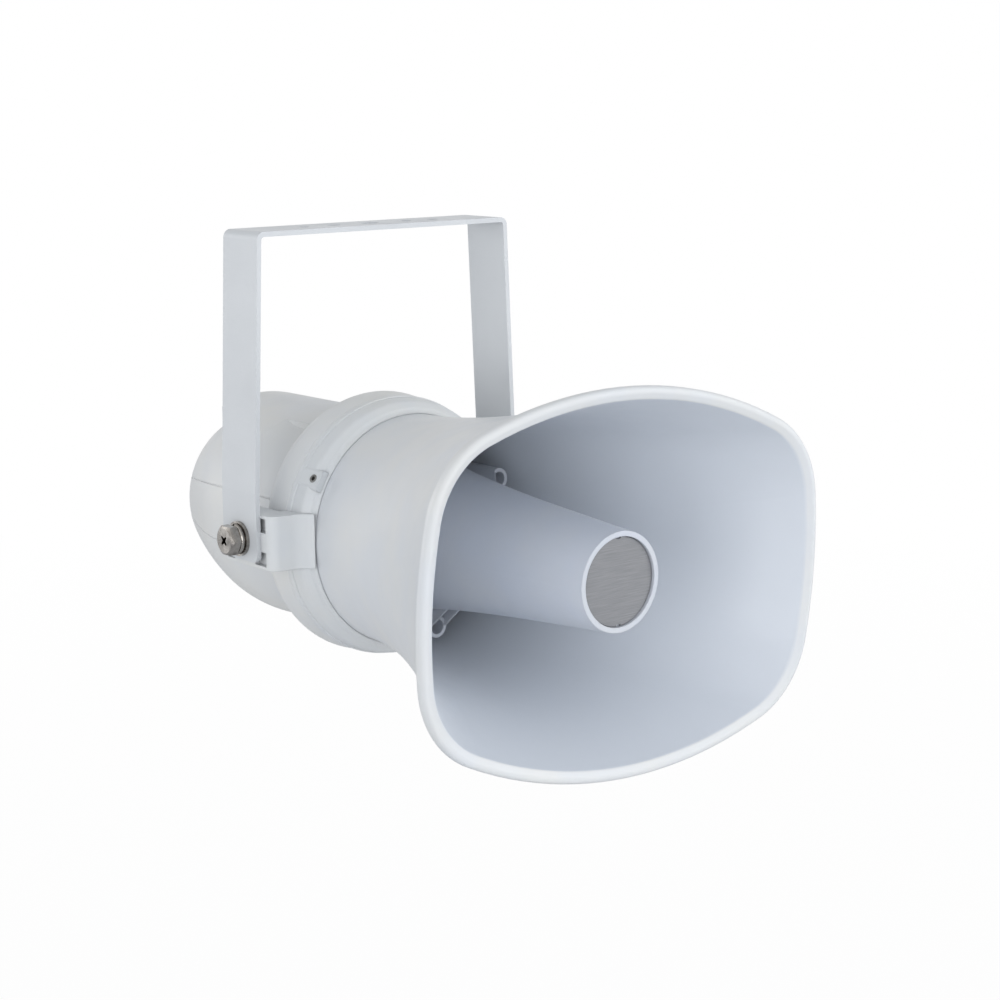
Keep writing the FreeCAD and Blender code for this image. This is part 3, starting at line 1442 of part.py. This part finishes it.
def check(body):
    """Every feature sound, and the finished shape valid."""
    for item in [body] + list(body.Group):
        if "Invalid" in item.State or "Error" in item.State:
            raise RuntimeError("%s: %s is %s" % (body.Label, item.Name, item.State))
    shape = body.Shape
    if shape.isNull() or not shape.isValid() or not shape.Solids:
        raise RuntimeError("%s has no sound shape" % body.Label)


make_bracket()
make_pivot_bolts()
make_spring_washers()
pivot_ring("flat_washers", S.bolt_radius + S.bolt_play * 2, S.washer_radius,
           S.foot_half, S.washer_thick)
make_lug_inserts()
make_bell()
make_ring()
make_set_screws()
make_cone()
make_disc()
make_tube()
make_baffle()
flat_ring("bell_gasket", S.neck_radius - S.bell_wall, S.flange_radius, bell_back, baffle_front)
flat_ring("housing_seal", S.house_mouth, S.flange_radius, baffle_back, S.ring_back)
screw("cone_screws", S.boss_circle, BOSS_ANGLES, [
    (S.cone_screw_head, baffle_front - S.boss_floor - S.cone_screw_head_thick,
     baffle_front - S.boss_floor),
    (S.cone_screw, baffle_front - S.boss_floor, baffle_back + 0.5)],
    (S.cone_screw * 1.5, baffle_front - S.boss_floor - S.cone_screw_head_thick, 1.3))
make_driver()
make_housing()
screw("housing_screws", S.flange_screw_circle, FLANGE_SCREW_ANGLES, [
    (S.flange_screw, S.flange_screw_tip, S.flange_screw_seat),
    (S.flange_screw_head, S.flange_screw_seat, S.flange_screw_seat + S.flange_screw_head_thick)],
    (S.flange_screw * 1.6, S.flange_screw_seat + S.flange_screw_head_thick, -1.2))
make_network()
make_gland()

doc.recompute()
os.makedirs("parts", exist_ok=True)
for body in bodies:
    check(body)
for body in bodies:
    body.Shape.exportStep("parts/%s.step" % body.Label)
    print(body.Label, "solids", len(body.Shape.Solids), "volume %.0f" % body.Shape.Volume)
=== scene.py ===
# %% [markdown]
# # A network horn loudspeaker on its bracket
#
# This lesson dresses a finished CAD model of a horn loudspeaker. Every solid already has its
# true shape and place, so nothing is moved or remodelled here. We give each piece the finish
# of the real one, down to the grain of the plastic and the marks of the lathe, and then set
# up a studio round it.
#
# The model arrives in metres. The middle of the bracket's top plate is the origin, +Z points
# up, and the mouth of the horn faces -Y.

# %% Load the model
import bpy
import bmesh
import json
import math
from mathutils import Matrix, Vector


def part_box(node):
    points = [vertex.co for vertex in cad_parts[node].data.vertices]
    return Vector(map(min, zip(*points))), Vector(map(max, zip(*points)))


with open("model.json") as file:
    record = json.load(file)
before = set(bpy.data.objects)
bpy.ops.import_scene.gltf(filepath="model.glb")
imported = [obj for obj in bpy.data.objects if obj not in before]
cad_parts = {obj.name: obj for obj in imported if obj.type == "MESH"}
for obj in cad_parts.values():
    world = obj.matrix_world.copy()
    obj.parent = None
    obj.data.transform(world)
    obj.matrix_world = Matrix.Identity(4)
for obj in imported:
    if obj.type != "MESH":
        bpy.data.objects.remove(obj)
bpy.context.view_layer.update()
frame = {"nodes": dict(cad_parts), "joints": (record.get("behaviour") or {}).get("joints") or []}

nodes = frame["nodes"]
print("loaded", len(nodes), "CAD pieces")

# %% [markdown]
# ## The two axes of the loudspeaker
#
# Round pieces get round finishes: turning marks on a bolt head, a winding on a coil. Those
# follow an axis, so we read both axes from the model once. The pivot axis runs from arm to
# arm, through the place of the joint. The axis of the horn runs from the mouth to the rear,
# through the middle of the disc in the cone.

# %% Axes
tilt = frame["joints"][0]
pivot = Vector(tilt["pos_m"])
disc_low, disc_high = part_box("cone_disc")
horn_axis = (disc_low + disc_high) / 2
mouth_low, mouth_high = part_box("bell_horn")
print("pivot height", round(pivot.z, 4), "horn axis height", round(horn_axis.z, 4))
print("mouth width", round(mouth_high.x - mouth_low.x, 4))

# %% [markdown]
# ## Helpers that build a material
#
# A material in Blender is a graph of nodes. Building one by hand takes many lines, so we
# write three helpers: one makes a blank material, one adds a node and fills in its sockets,
# and one mixes two colours by a mask. In the second one a socket goes by its name, or by its
# number with an i before it where the name doesn't tell two sockets apart.

# %% Material helpers
def blank_finish(name):
    """A new material with only its shader in it."""
    finish = bpy.data.materials.new(name)
    finish.use_nodes = True
    return finish, finish.node_tree, finish.node_tree.nodes["Principled BSDF"]


def add(tree, kind, settings=None, **sockets):
    """Add a node. A socket takes a plain value or the output of another node."""
    node = tree.nodes.new("ShaderNode" + kind)
    for key, value in (settings or {}).items():
        setattr(node, key, value)
    for key, value in sockets.items():
        place = int(key[1:]) if key[0] == "i" and key[1:].isdigit() else key.replace("_", " ")
        if isinstance(value, bpy.types.NodeSocket):
            tree.links.new(value, node.inputs[place])
        else:
            node.inputs[place].default_value = value
    return node


def blend_colours(tree, mask, first, second):
    """The first colour where the mask is 0, the second where it is 1."""
    mix = add(tree, "Mix", {"data_type": "RGBA"})
    for place, value in ((0, mask), (6, first), (7, second)):
        if isinstance(value, bpy.types.NodeSocket):
            tree.links.new(value, mix.inputs[place])
        else:
            mix.inputs[place].default_value = value
    return mix.outputs[2]


print("material helpers ready")

# %% [markdown]
# ## Helpers for patterns and colours
#
# Four more helpers keep the recipes short. Noise drives most of them: stretched to a narrow
# range it varies a colour or the sheen, and as a height it makes bumps. Sizes are in metres,
# so a grain can be chosen by what one would measure on the real surface.

# %% Pattern helpers
def rescale(tree, value, low, high, new_low, new_high):
    """Stretch a value from one range to another, and hold it inside the new range."""
    node = add(tree, "MapRange", Value=value)
    for place, number in ((1, low), (2, high), (3, new_low), (4, new_high)):
        node.inputs[place].default_value = number
    return node.outputs[0]


def grain(tree, size, detail=2.0, rough=0.5, stretch=(1, 1, 1)):
    """Noise whose lumps measure about the given size in metres."""
    place = add(tree, "TexCoord").outputs["Object"]
    if stretch != (1, 1, 1):
        place = add(tree, "Mapping", Vector=place, Scale=stretch).outputs[0]
    return add(tree, "TexNoise", Vector=place, Scale=1 / size, Detail=detail,
               Roughness=rough).outputs["Fac"]


def relief(tree, height, strength, distance):
    """Turn a height into bumps of a given real depth in metres."""
    return add(tree, "Bump", Height=height, Strength=strength, Distance=distance).outputs[0]


def shade(red, green, blue):
    """A colour as read off a screen, 0 to 255, turned into the values a shader works with."""
    def linear(part):
        part = part / 255
        return part / 12.92 if part <= 0.04045 else ((part + 0.055) / 1.055) ** 2.4
    return (linear(red), linear(green), linear(blue), 1)


print("pattern helpers ready")

# %% [markdown]
# ## Moulded plastic
#
# The ring, the housing and the bell are injection moulded. Such a shell isn't one flat
# colour: the tool leaves a fine satin grain, and the wall sinks a little here and there.
# Noise of three sizes makes the patches, the sheen and the grain. The grooves get another
# colour than the open faces, and that colour is painted light and shade. An ambient
# occlusion node finds the grooves: it tells how closed in a point of the surface is. The
# lines of the housing are painted lighter at their bottom, as painted light, and the steps
# of the ring are painted darker, as painted shade. A bevel node rounds the edges for the
# light alone, and leaves the mesh as it is.

# %% Moulded plastic
patch_size = 0.035
sheen_size = 0.012
satin_size = 0.0006
sink_depth = 0.0006
satin_depth = 0.00006
groove_reach = 0.004


def moulded_plastic(name, colour, painted_groove_shading, roughness=0.42, edge=0.0006):
    """Satin plastic: faint warm and cool patches, painted light and shade in the grooves, soft
    edges.
    """
    finish, tree, shader = blank_finish(name)
    clouds = grain(tree, patch_size, 3)
    warm = tuple(c * f for c, f in zip(colour[:3], (1.02, 1.01, 0.985))) + (1,)
    cool = tuple(c * f for c, f in zip(colour[:3], (0.975, 0.985, 1.0))) + (1,)
    tint = blend_colours(tree, rescale(tree, clouds, 0.35, 0.65, 0, 1), warm, cool)
    # The occlusion mask lays the given groove colour into the grooves: painted light where it is
    # lighter than the body, painted shade where it is darker.
    closed = add(tree, "AmbientOcclusion", {"samples": 6}, Distance=groove_reach).outputs["AO"]
    deep = rescale(tree, closed, 0.35, 0.85, 1, 0)
    tree.links.new(blend_colours(tree, deep, tint, painted_groove_shading), shader.inputs["Base Color"])
    fine = grain(tree, satin_size, 2)
    sheen = grain(tree, sheen_size, 3)
    tree.links.new(rescale(tree, sheen, 0.3, 0.7, roughness - 0.05, roughness + 0.06),
                   shader.inputs["Roughness"])
    soft = add(tree, "Bevel", {"samples": 4}, Radius=edge).outputs[0]
    sink = add(tree, "Bump", Height=clouds, Strength=0.25, Distance=sink_depth, Normal=soft)
    skin = add(tree, "Bump", Height=fine, Strength=0.25, Distance=satin_depth,
               Normal=sink.outputs[0])
    tree.links.new(skin.outputs[0], shader.inputs["Normal"])
    shader.inputs["Specular IOR Level"].default_value = 0.45
    return finish


# The housing's grooves are painted lighter than the body: painted light.
body_white = moulded_plastic("body_white", shade(218, 219, 219), shade(240, 241, 241))
# The ring's grooves and steps are painted darker: painted shade.
ring_white = moulded_plastic("ring_white", shade(216, 218, 219), shade(192, 194, 196))
print("made", body_white.name, "and", ring_white.name)

# %% [markdown]
# ## The bell
#
# The bell is the same plastic, but the core of its mould is polished, so the inside is
# glossier than the outside. The inside is also painted a cool blue-grey, darker than the
# outside: painted shade, for the light that the bell keeps from its inside. A point lies on
# the inside when its surface faces the horn's axis. We work that out in the shader: the dot
# product of the way outwards from the axis and the surface normal is negative there. Both
# are in the object's own space, so the finish stays put when the horn tilts. The mask starts
# where the surface turns clearly inwards and is full a little further on, so the bright lip
# blends into the painted shade of the inside. The lip is also rounder than the edges of the
# other mouldings. Its grooves are painted darker, as painted shade. The cone inside the bell
# is a moulding of the same kind, painted in a cooler, darker tone as painted shade.

# %% Bell plastic
lip_edge = 0.0018
inside_starts = -0.45
inside_full = -0.75
inside_gloss = 0.85


def faces_axis(tree):
    """1 where the surface faces the axis of the horn, 0 where it faces away."""
    spot = add(tree, "TexCoord")
    outwards = add(tree, "VectorMath", {"operation": "SUBTRACT"})
    tree.links.new(spot.outputs["Object"], outwards.inputs[0])
    outwards.inputs[1].default_value = (horn_axis.x, 0, horn_axis.z)
    flat = add(tree, "VectorMath", {"operation": "MULTIPLY"})
    tree.links.new(outwards.outputs[0], flat.inputs[0])
    flat.inputs[1].default_value = (1, 0, 1)
    away = add(tree, "VectorMath", {"operation": "NORMALIZE"})
    tree.links.new(flat.outputs[0], away.inputs[0])
    dot = add(tree, "VectorMath", {"operation": "DOT_PRODUCT"})
    tree.links.new(away.outputs[0], dot.inputs[0])
    tree.links.new(spot.outputs["Normal"], dot.inputs[1])
    return rescale(tree, dot.outputs["Value"], inside_starts, inside_full, 0, 1)


def bell_plastic(name, outside, painted_inside_shade):
    """Moulded plastic with painted shade and a glossier skin on the inside of the horn."""
    # The darker groove colour is painted shade.
    finish = moulded_plastic(name, outside, shade(200, 203, 208), 0.40, lip_edge)
    tree = finish.node_tree
    shader = tree.nodes["Principled BSDF"]
    inside_shade_and_polish = faces_axis(tree)
    colour = shader.inputs["Base Color"].links[0].from_socket
    # The inside colour is painted shade; the glossier skin below is the polish of the mould.
    tree.links.new(blend_colours(tree, inside_shade_and_polish, colour, painted_inside_shade), shader.inputs["Base Color"])
    satin = shader.inputs["Roughness"].links[0].from_socket
    polish = rescale(tree, inside_shade_and_polish, 0, 1, 1, inside_gloss)
    both = add(tree, "Math", {"operation": "MULTIPLY"}, i0=satin, i1=polish)
    tree.links.new(both.outputs[0], shader.inputs["Roughness"])
    return finish


# The second colour is painted shade for the inside of the bell and the inner part of its lip.
bell_white = bell_plastic("bell_white", shade(219, 221, 223), shade(214, 219, 226))
# The cone's cooler, darker colour and its darker grooves are painted shade.
cone_white = moulded_plastic("cone_white", shade(202, 206, 214), shade(190, 194, 203), 0.38)
print("made", bell_white.name, "and", cone_white.name)

# %% [markdown]
# ## Powder coat on the bracket
#
# Bent strip is powder coated: the powder flows in the oven and leaves the soft waviness that
# painters call orange peel. It is a bump of about one millimetre, very shallow, under a
# slightly glossier skin than the plastic has. Closed-in places, such as under the washers,
# are painted darker: painted shade.

# %% Powder coat
peel_cells_per_metre = 900.0
peel_depth = 0.00008


def powder_coat(name, colour):
    """Painted metal with orange peel, faint cloudy patches and painted shade in closed-in
    places.
    """
    finish, tree, shader = blank_finish(name)
    peel = add(tree, "TexVoronoi", {"feature": "SMOOTH_F1"}, Scale=peel_cells_per_metre)
    tree.links.new(add(tree, "TexCoord").outputs["Object"], peel.inputs["Vector"])
    wave = relief(tree, peel.outputs["Distance"], 0.3, peel_depth)
    tree.links.new(wave, shader.inputs["Normal"])
    # Closed-in places are painted darker by the occlusion mask: painted shade.
    closed = add(tree, "AmbientOcclusion", {"samples": 6}, Distance=groove_reach).outputs["AO"]
    painted_crevice_shade = tuple(c * 0.7 for c in colour[:3]) + (1,)
    dull = tuple(c * 0.965 for c in colour[:3]) + (1,)
    clouds = rescale(tree, grain(tree, 0.05, 3), 0.4, 0.62, 0, 1)
    tint = blend_colours(tree, clouds, colour, dull)
    tree.links.new(blend_colours(tree, rescale(tree, closed, 0.35, 0.8, 1, 0), tint, painted_crevice_shade),
                   shader.inputs["Base Color"])
    shine = rescale(tree, grain(tree, 0.02, 2), 0.3, 0.7, 0.33, 0.43)
    tree.links.new(shine, shader.inputs["Roughness"])
    return finish


bracket_paint = powder_coat("bracket_paint", shade(207, 210, 213))
print("made", bracket_paint.name)

# %% [markdown]
# ## Turned and plated metal
#
# The bolts are stainless steel, with marks that the lathe leaves round their axis, and a few
# darker smudges where they are handled. The distance of a point from the pivot axis, fed
# into a wave, gives the rings. The small set screws are duller. The screws inside are zinc
# plated, and their marks run round the axis of the horn. Inserts and spacers are brass.

# %% Metals
lathe_pitch = 0.00035
lathe_depth = 0.00003


def distance_from(tree, axis, centre):
    """How far a point is from an axis along x, y or z."""
    spot = add(tree, "TexCoord").outputs["Object"]
    arm = add(tree, "VectorMath", {"operation": "SUBTRACT"})
    tree.links.new(spot, arm.inputs[0])
    arm.inputs[1].default_value = centre
    flat = add(tree, "VectorMath", {"operation": "MULTIPLY"})
    tree.links.new(arm.outputs[0], flat.inputs[0])
    flat.inputs[1].default_value = [0 if k == "xyz".index(axis) else 1 for k in range(3)]
    long = add(tree, "VectorMath", {"operation": "LENGTH"})
    tree.links.new(flat.outputs[0], long.inputs[0])
    return long.outputs["Value"]


def turned_metal(name, colour, dark, roughness, axis="x", centre=pivot):
    """Metal with turning marks round an axis and darker smudges."""
    finish, tree, shader = blank_finish(name)
    radius = distance_from(tree, axis, centre)
    turns = add(tree, "Math", {"operation": "MULTIPLY"}, i0=radius,
                i1=2 * math.pi / lathe_pitch)
    rings = add(tree, "Math", {"operation": "SINE"}, i0=turns.outputs[0]).outputs[0]
    smudge = rescale(tree, grain(tree, 0.004, 4, 0.6), 0.42, 0.66, 0, 1)
    tree.links.new(blend_colours(tree, smudge, colour, dark), shader.inputs["Base Color"])
    shine = rescale(tree, grain(tree, 0.002, 3), 0.3, 0.7, roughness - 0.07, roughness + 0.1)
    tree.links.new(shine, shader.inputs["Roughness"])
    tree.links.new(relief(tree, rings, 0.25, lathe_depth), shader.inputs["Normal"])
    shader.inputs["Metallic"].default_value = 1
    return finish


stainless = turned_metal("stainless", shade(164, 160, 155), shade(126, 122, 118), 0.17)
screw_steel = turned_metal("screw_steel", shade(164, 163, 161), shade(136, 135, 133), 0.36)
zinc = turned_metal("zinc", shade(186, 187, 184), shade(150, 151, 146), 0.34, "y", horn_axis)
brass = turned_metal("brass", shade(196, 162, 98), shade(150, 118, 66), 0.30)
print("made", stainless.name, screw_steel.name, zinc.name, brass.name)

# %% [markdown]
# ## The disc in the cone
#
# The inner cone ends in a plain grey disc. Its face is brushed in one direction, so it shows
# fine streaks from side to side. Noise that is squeezed sixty times in height makes them,
# and the same streaks vary the roughness, which is what makes brushed metal look brushed.

# %% Brushed disc
streak_length = 0.012
streak_squeeze = (1, 30, 60)


def brushed_disc(name):
    """Grey metal with long fine streaks along X."""
    finish, tree, shader = blank_finish(name)
    streaks = grain(tree, streak_length, 5, 0.65, streak_squeeze)
    colour = blend_colours(tree, rescale(tree, streaks, 0.36, 0.64, 0, 1),
                           shade(141, 142, 145), shade(126, 127, 130))
    tree.links.new(colour, shader.inputs["Base Color"])
    tree.links.new(rescale(tree, streaks, 0.3, 0.7, 0.42, 0.6), shader.inputs["Roughness"])
    tree.links.new(relief(tree, streaks, 0.15, 0.00003), shader.inputs["Normal"])
    shader.inputs["Metallic"].default_value = 0.35
    return finish


disc_metal = brushed_disc("disc_metal")
print("made", disc_metal.name)

# %% [markdown]
# ## Recipes for the hidden pieces
#
# The driver and the amplifier sit behind the bell, out of sight. They still get honest
# finishes, so that the part also looks right when someone opens it. Three recipes do for all
# of them: flecks for plastic, rubber, ferrite and sheet metal, rings along the axis for wound
# copper, and a brick pattern for the tracks under the green mask of the board.

# %% Hidden recipes
def speckled(name, colour, fleck, size, roughness, depth, metallic=0.0):
    """Plain technical surfaces: a base colour with flecks of another and a fine relief."""
    finish, tree, shader = blank_finish(name)
    flecks = grain(tree, size, 4, 0.6)
    mask = rescale(tree, flecks, 0.45, 0.68, 0, 1)
    tree.links.new(blend_colours(tree, mask, colour, fleck), shader.inputs["Base Color"])
    tree.links.new(rescale(tree, flecks, 0.3, 0.7, roughness - 0.08, roughness + 0.08),
                   shader.inputs["Roughness"])
    tree.links.new(relief(tree, flecks, 0.4, depth), shader.inputs["Normal"])
    shader.inputs["Metallic"].default_value = metallic
    return finish


def wound_copper(name, pitch):
    """Turns of enamelled wire, side by side along the axis of the horn."""
    finish, tree, shader = blank_finish(name)
    split = add(tree, "SeparateXYZ", Vector=add(tree, "TexCoord").outputs["Object"])
    turns = add(tree, "Math", {"operation": "MULTIPLY"}, i0=split.outputs[1],
                i1=2 * math.pi / pitch)
    wave = add(tree, "Math", {"operation": "SINE"}, i0=turns.outputs[0]).outputs[0]
    tree.links.new(blend_colours(tree, rescale(tree, wave, -1, 0.2, 0, 1),
                                 shade(112, 52, 24), shade(206, 122, 66)),
                   shader.inputs["Base Color"])
    tree.links.new(relief(tree, wave, 0.6, pitch / 4), shader.inputs["Normal"])
    shader.inputs["Roughness"].default_value = 0.28
    shader.inputs["Metallic"].default_value = 0.8
    return finish


def board_laminate(name):
    """Green solder mask with lighter tracks under it."""
    finish, tree, shader = blank_finish(name)
    tracks = add(tree, "TexBrick", Scale=160.0)
    spot = add(tree, "TexCoord").outputs["Object"]
    turned = add(tree, "Mapping", Vector=spot, Rotation=(math.pi / 2, 0, 0)).outputs[0]
    tree.links.new(turned, tracks.inputs["Vector"])
    tracks.inputs["Color1"].default_value = shade(18, 92, 52)
    tracks.inputs["Color2"].default_value = shade(14, 80, 46)
    tracks.inputs["Mortar"].default_value = shade(44, 128, 76)
    tree.links.new(tracks.outputs["Color"], shader.inputs["Base Color"])
    tree.links.new(relief(tree, tracks.outputs["Fac"], 0.4, 0.00004), shader.inputs["Normal"])
    tree.links.new(rescale(tree, grain(tree, 0.003), 0.3, 0.7, 0.25, 0.36),
                   shader.inputs["Roughness"])
    return finish


print("recipes for the hidden pieces ready")

# %% [markdown]
# ## Finishes of the hidden pieces
#
# Each call names a colour, the colour of its flecks, the size of the flecks in metres, how
# dull the surface is and how deep its relief is. Ferrite is dull and coarse, because it is
# pressed and fired powder. The can sleeves are shrunk film, so they are smooth and glossy.
# The nylon of the cable gland is a moulding like the housing.

# %% Hidden finishes
black_plastic = speckled("black_plastic", shade(40, 41, 43), shade(52, 53, 55),
                         size=0.001, roughness=0.5, depth=0.00005)
seal_rubber = speckled("seal_rubber", shade(34, 34, 35), shade(48, 47, 46),
                       size=0.0015, roughness=0.75, depth=0.0001)
ferrite = speckled("ferrite", shade(58, 58, 60), shade(76, 75, 74),
                   size=0.0008, roughness=0.6, depth=0.00008)
motor_steel = speckled("motor_steel", shade(168, 170, 172), shade(140, 142, 142),
                       size=0.003, roughness=0.36, depth=0.00003, metallic=0.9)
film_skin = speckled("film_skin", shade(176, 166, 146), shade(156, 146, 128),
                     size=0.004, roughness=0.3, depth=0.00002)
sink_metal = speckled("sink_metal", shade(190, 192, 195), shade(168, 170, 173),
                      size=0.0015, roughness=0.4, depth=0.00004, metallic=0.9)
jack_shield = speckled("jack_shield", shade(196, 196, 194), shade(168, 168, 165),
                       size=0.005, roughness=0.3, depth=0.00002, metallic=1.0)
block_green = speckled("block_green", shade(52, 132, 96), shade(42, 116, 84),
                       size=0.0012, roughness=0.45, depth=0.00004)
can_sleeve = speckled("can_sleeve", shade(46, 52, 70), shade(60, 66, 84),
                      size=0.002, roughness=0.3, depth=0.00002)
coil_wire = wound_copper("coil_wire", pitch=0.0004)
laminate = board_laminate("laminate")
# Its grooves are painted dark: painted shade.
gland_nylon = moulded_plastic("gland_nylon", shade(205, 206, 206), shade(130, 132, 134), 0.46)
print("made 12 finishes for the hidden pieces")

# %% [markdown]
# ## Dress every piece
#
# Each CAD piece now gets its finish. The table reads like a parts list: the finish first,
# then the pieces that are made of it. At the end we check that none was forgotten.

# %% Dress the pieces
wardrobe = [
    (body_white, ["rear_housing"]),
    (ring_white, ["clamp_ring"]),
    (bell_white, ["bell_horn"]),
    (cone_white, ["reflector_cone"]),
    (bracket_paint, ["mounting_bracket"]),
    (stainless, ["pivot_bolts", "spring_washers", "flat_washers"]),
    (screw_steel, ["ring_set_screws"]),
    (brass, ["lug_inserts", "board_spacers"]),
    (disc_metal, ["cone_disc"]),
    (black_plastic, ["tone_tube", "baffle_plate", "driver_frame", "phase_plug",
                     "line_transformer", "processor_chip"]),
    (seal_rubber, ["bell_gasket", "housing_seal", "gland_washer", "gland_seal"]),
    (zinc, ["cone_screws", "driver_screws", "housing_screws", "board_screws",
            "spacer_screws"]),
    (film_skin, ["diaphragm"]),
    (coil_wire, ["voice_coil", "filter_coils"]),
    (motor_steel, ["top_plate", "pole_yoke"]),
    (ferrite, ["ring_magnet"]),
    (laminate, ["main_board"]),
    (jack_shield, ["network_jack"]),
    (sink_metal, ["heat_sink"]),
    (block_green, ["terminal_block"]),
    (can_sleeve, ["capacitors"]),
    (gland_nylon, ["gland_body", "gland_nut", "gland_cap"]),
]
dressed = set()
for finish, names in wardrobe:
    for name in names:
        nodes[name].data.materials.clear()
        nodes[name].data.materials.append(finish)
        dressed.add(name)
print("dressed", len(dressed), "of", len(nodes), "left over:", sorted(set(nodes) - dressed))

# %% [markdown]
# ## Camera
#
# The camera stands to the left of the mouth, a little above it, about 0.9 m away. We build
# its orientation from three angles: how far round it stands, how far up, and how much it is
# rolled. A camera looks along its own -Z, so its Z column points back from the object.

# %% Camera
view_angle = math.radians(26.04)
round_angle, up_angle, roll_angle = (math.radians(v) for v in (-39.48, 11.11, -0.46))
stand = Vector((-0.5978, -0.8195, 0.0669))

back = Vector((math.sin(round_angle) * math.cos(up_angle),
               -math.cos(round_angle) * math.cos(up_angle), math.sin(up_angle)))
level = Vector((math.cos(round_angle), math.sin(round_angle), 0))
upright = back.cross(level)
right = level * math.cos(roll_angle) + upright * math.sin(roll_angle)
top = upright * math.cos(roll_angle) - level * math.sin(roll_angle)

camera_data = bpy.data.cameras.new("studio_camera")
camera_data.sensor_fit = "HORIZONTAL"
camera_data.angle = view_angle
camera = bpy.data.objects.new("studio_camera", camera_data)
bpy.context.scene.collection.objects.link(camera)
camera.matrix_world = Matrix((
    (right.x, top.x, back.x, stand.x), (right.y, top.y, back.y, stand.y),
    (right.z, top.z, back.z, stand.z), (0, 0, 0, 1)))
bpy.context.scene.camera = camera
print("camera at", [round(v, 3) for v in stand])

# %% [markdown]
# ## Floor
#
# A product picture on white needs a bright surround and soft light. The floor is a large
# pale sheet well below the loudspeaker, which hangs from its bracket. The camera sees it
# glow almost white, and only a trace of the shadow shows under the loudspeaker. Further
# out it is all white, so that it has no visible end. For all other rays it is a calm grey,
# so that not too much light comes back from below.

# %% Floor
floor_height = -0.62
floor_half = 12
near, far = 0.9, 2.4
near_glow = 0.97


def pale_floor(height, half):
    """A flat square that the camera sees as white, with a trace of the shadow near by."""
    mesh = bpy.data.meshes.new("studio_floor")
    work = bmesh.new()
    corners = [work.verts.new((x * half, y * half, height))
               for x, y in ((-1, -1), (1, -1), (1, 1), (-1, 1))]
    work.faces.new(corners)
    work.to_mesh(mesh)
    work.free()
    floor = bpy.data.objects.new("studio_floor", mesh)
    bpy.context.scene.collection.objects.link(floor)
    finish, tree, shader = blank_finish("floor_white")
    shader.inputs["Base Color"].default_value = shade(214, 215, 217)
    shader.inputs["Roughness"].default_value = 0.9
    seen = add(tree, "LightPath").outputs["Is Camera Ray"]
    glow = add(tree, "Emission", Color=(1, 1, 1, 1), Strength=1.0)
    mix = add(tree, "MixShader")
    away = add(tree, "VectorMath", {"operation": "LENGTH"})
    tree.links.new(add(tree, "TexCoord").outputs["Object"], away.inputs[0])
    even = rescale(tree, away.outputs["Value"], near, far, near_glow, 1)
    share = add(tree, "Math", {"operation": "MULTIPLY"}, i0=seen, i1=even)
    tree.links.new(share.outputs[0], mix.inputs[0])
    tree.links.new(shader.outputs[0], mix.inputs[1])
    tree.links.new(glow.outputs[0], mix.inputs[2])
    tree.links.new(mix.outputs[0], tree.nodes["Material Output"].inputs["Surface"])
    floor.data.materials.append(finish)
    return floor


floor = pale_floor(floor_height, floor_half)
print("floor below the loudspeaker at", floor.data.vertices[0].co.z)

# %% [markdown]
# ## World and lamps
#
# The world is white where the camera or a reflection sees it. As a light it is bright in
# front of the loudspeaker and dimmer behind it, as in a room with its windows on one side.
# That gives the round pieces their shape. Four wide lamps add to it: one in front, one on
# each side for the lug and for the inside of the bell, and one behind for the housing.

# %% World and lamps
front_way, rear_way = -0.6, 0.4
cool_white = (0.93, 0.96, 1.0, 1)


def studio_world(front, rear):
    """A soft surround with one strength from the front and another from behind."""
    world = bpy.data.worlds.new("studio")
    bpy.context.scene.world = world
    world.use_nodes = True
    tree = world.node_tree
    light = tree.nodes["Background"]
    light.inputs["Color"].default_value = cool_white
    way = add(tree, "TexCoord").outputs["Generated"]
    across = add(tree, "SeparateXYZ", Vector=way).outputs[1]
    tree.links.new(rescale(tree, across, front_way, rear_way, front, rear),
                   light.inputs["Strength"])
    white = add(tree, "Background", Color=(1, 1, 1, 1), Strength=1.0)
    path = add(tree, "LightPath")
    seen = add(tree, "Math", {"operation": "MAXIMUM"}, i0=path.outputs["Is Camera Ray"],
               i1=path.outputs["Is Glossy Ray"])
    through = add(tree, "Math", {"operation": "MAXIMUM"}, i0=seen.outputs[0],
                  i1=path.outputs["Is Transmission Ray"])
    mix = add(tree, "MixShader")
    tree.links.new(through.outputs[0], mix.inputs[0])
    tree.links.new(light.outputs[0], mix.inputs[1])
    tree.links.new(white.outputs[0], mix.inputs[2])
    tree.links.new(mix.outputs[0], tree.nodes["World Output"].inputs["Surface"])


def soft_lamp(name, place, aim, size, power):
    """A round lamp of a given width in metres and power in watts, turned to its aim."""
    data = bpy.data.lights.new(name, "AREA")
    data.shape = "DISK"
    data.size = size
    data.energy = power
    lamp = bpy.data.objects.new(name, data)
    lamp.location = place
    lamp.rotation_euler = (Vector(place) - Vector(aim)).to_track_quat("Z", "Y").to_euler()
    bpy.context.scene.collection.objects.link(lamp)


studio_world(front=0.88, rear=0.38)
middle = (0, 0, -0.12)
soft_lamp("front_lamp", (-0.7, -1.8, -0.1), middle, size=1.4, power=6)
soft_lamp("side_lamp", (-1.6, -0.7, -0.2), middle, size=1.2, power=7)
soft_lamp("right_lamp", (1.5, -1.5, 0.1), middle, size=1.6, power=14)
soft_lamp("back_lamp", (-1.2, 1.6, 0.2), middle, size=1.6, power=8)
bpy.context.scene.view_settings.view_transform = "Standard"
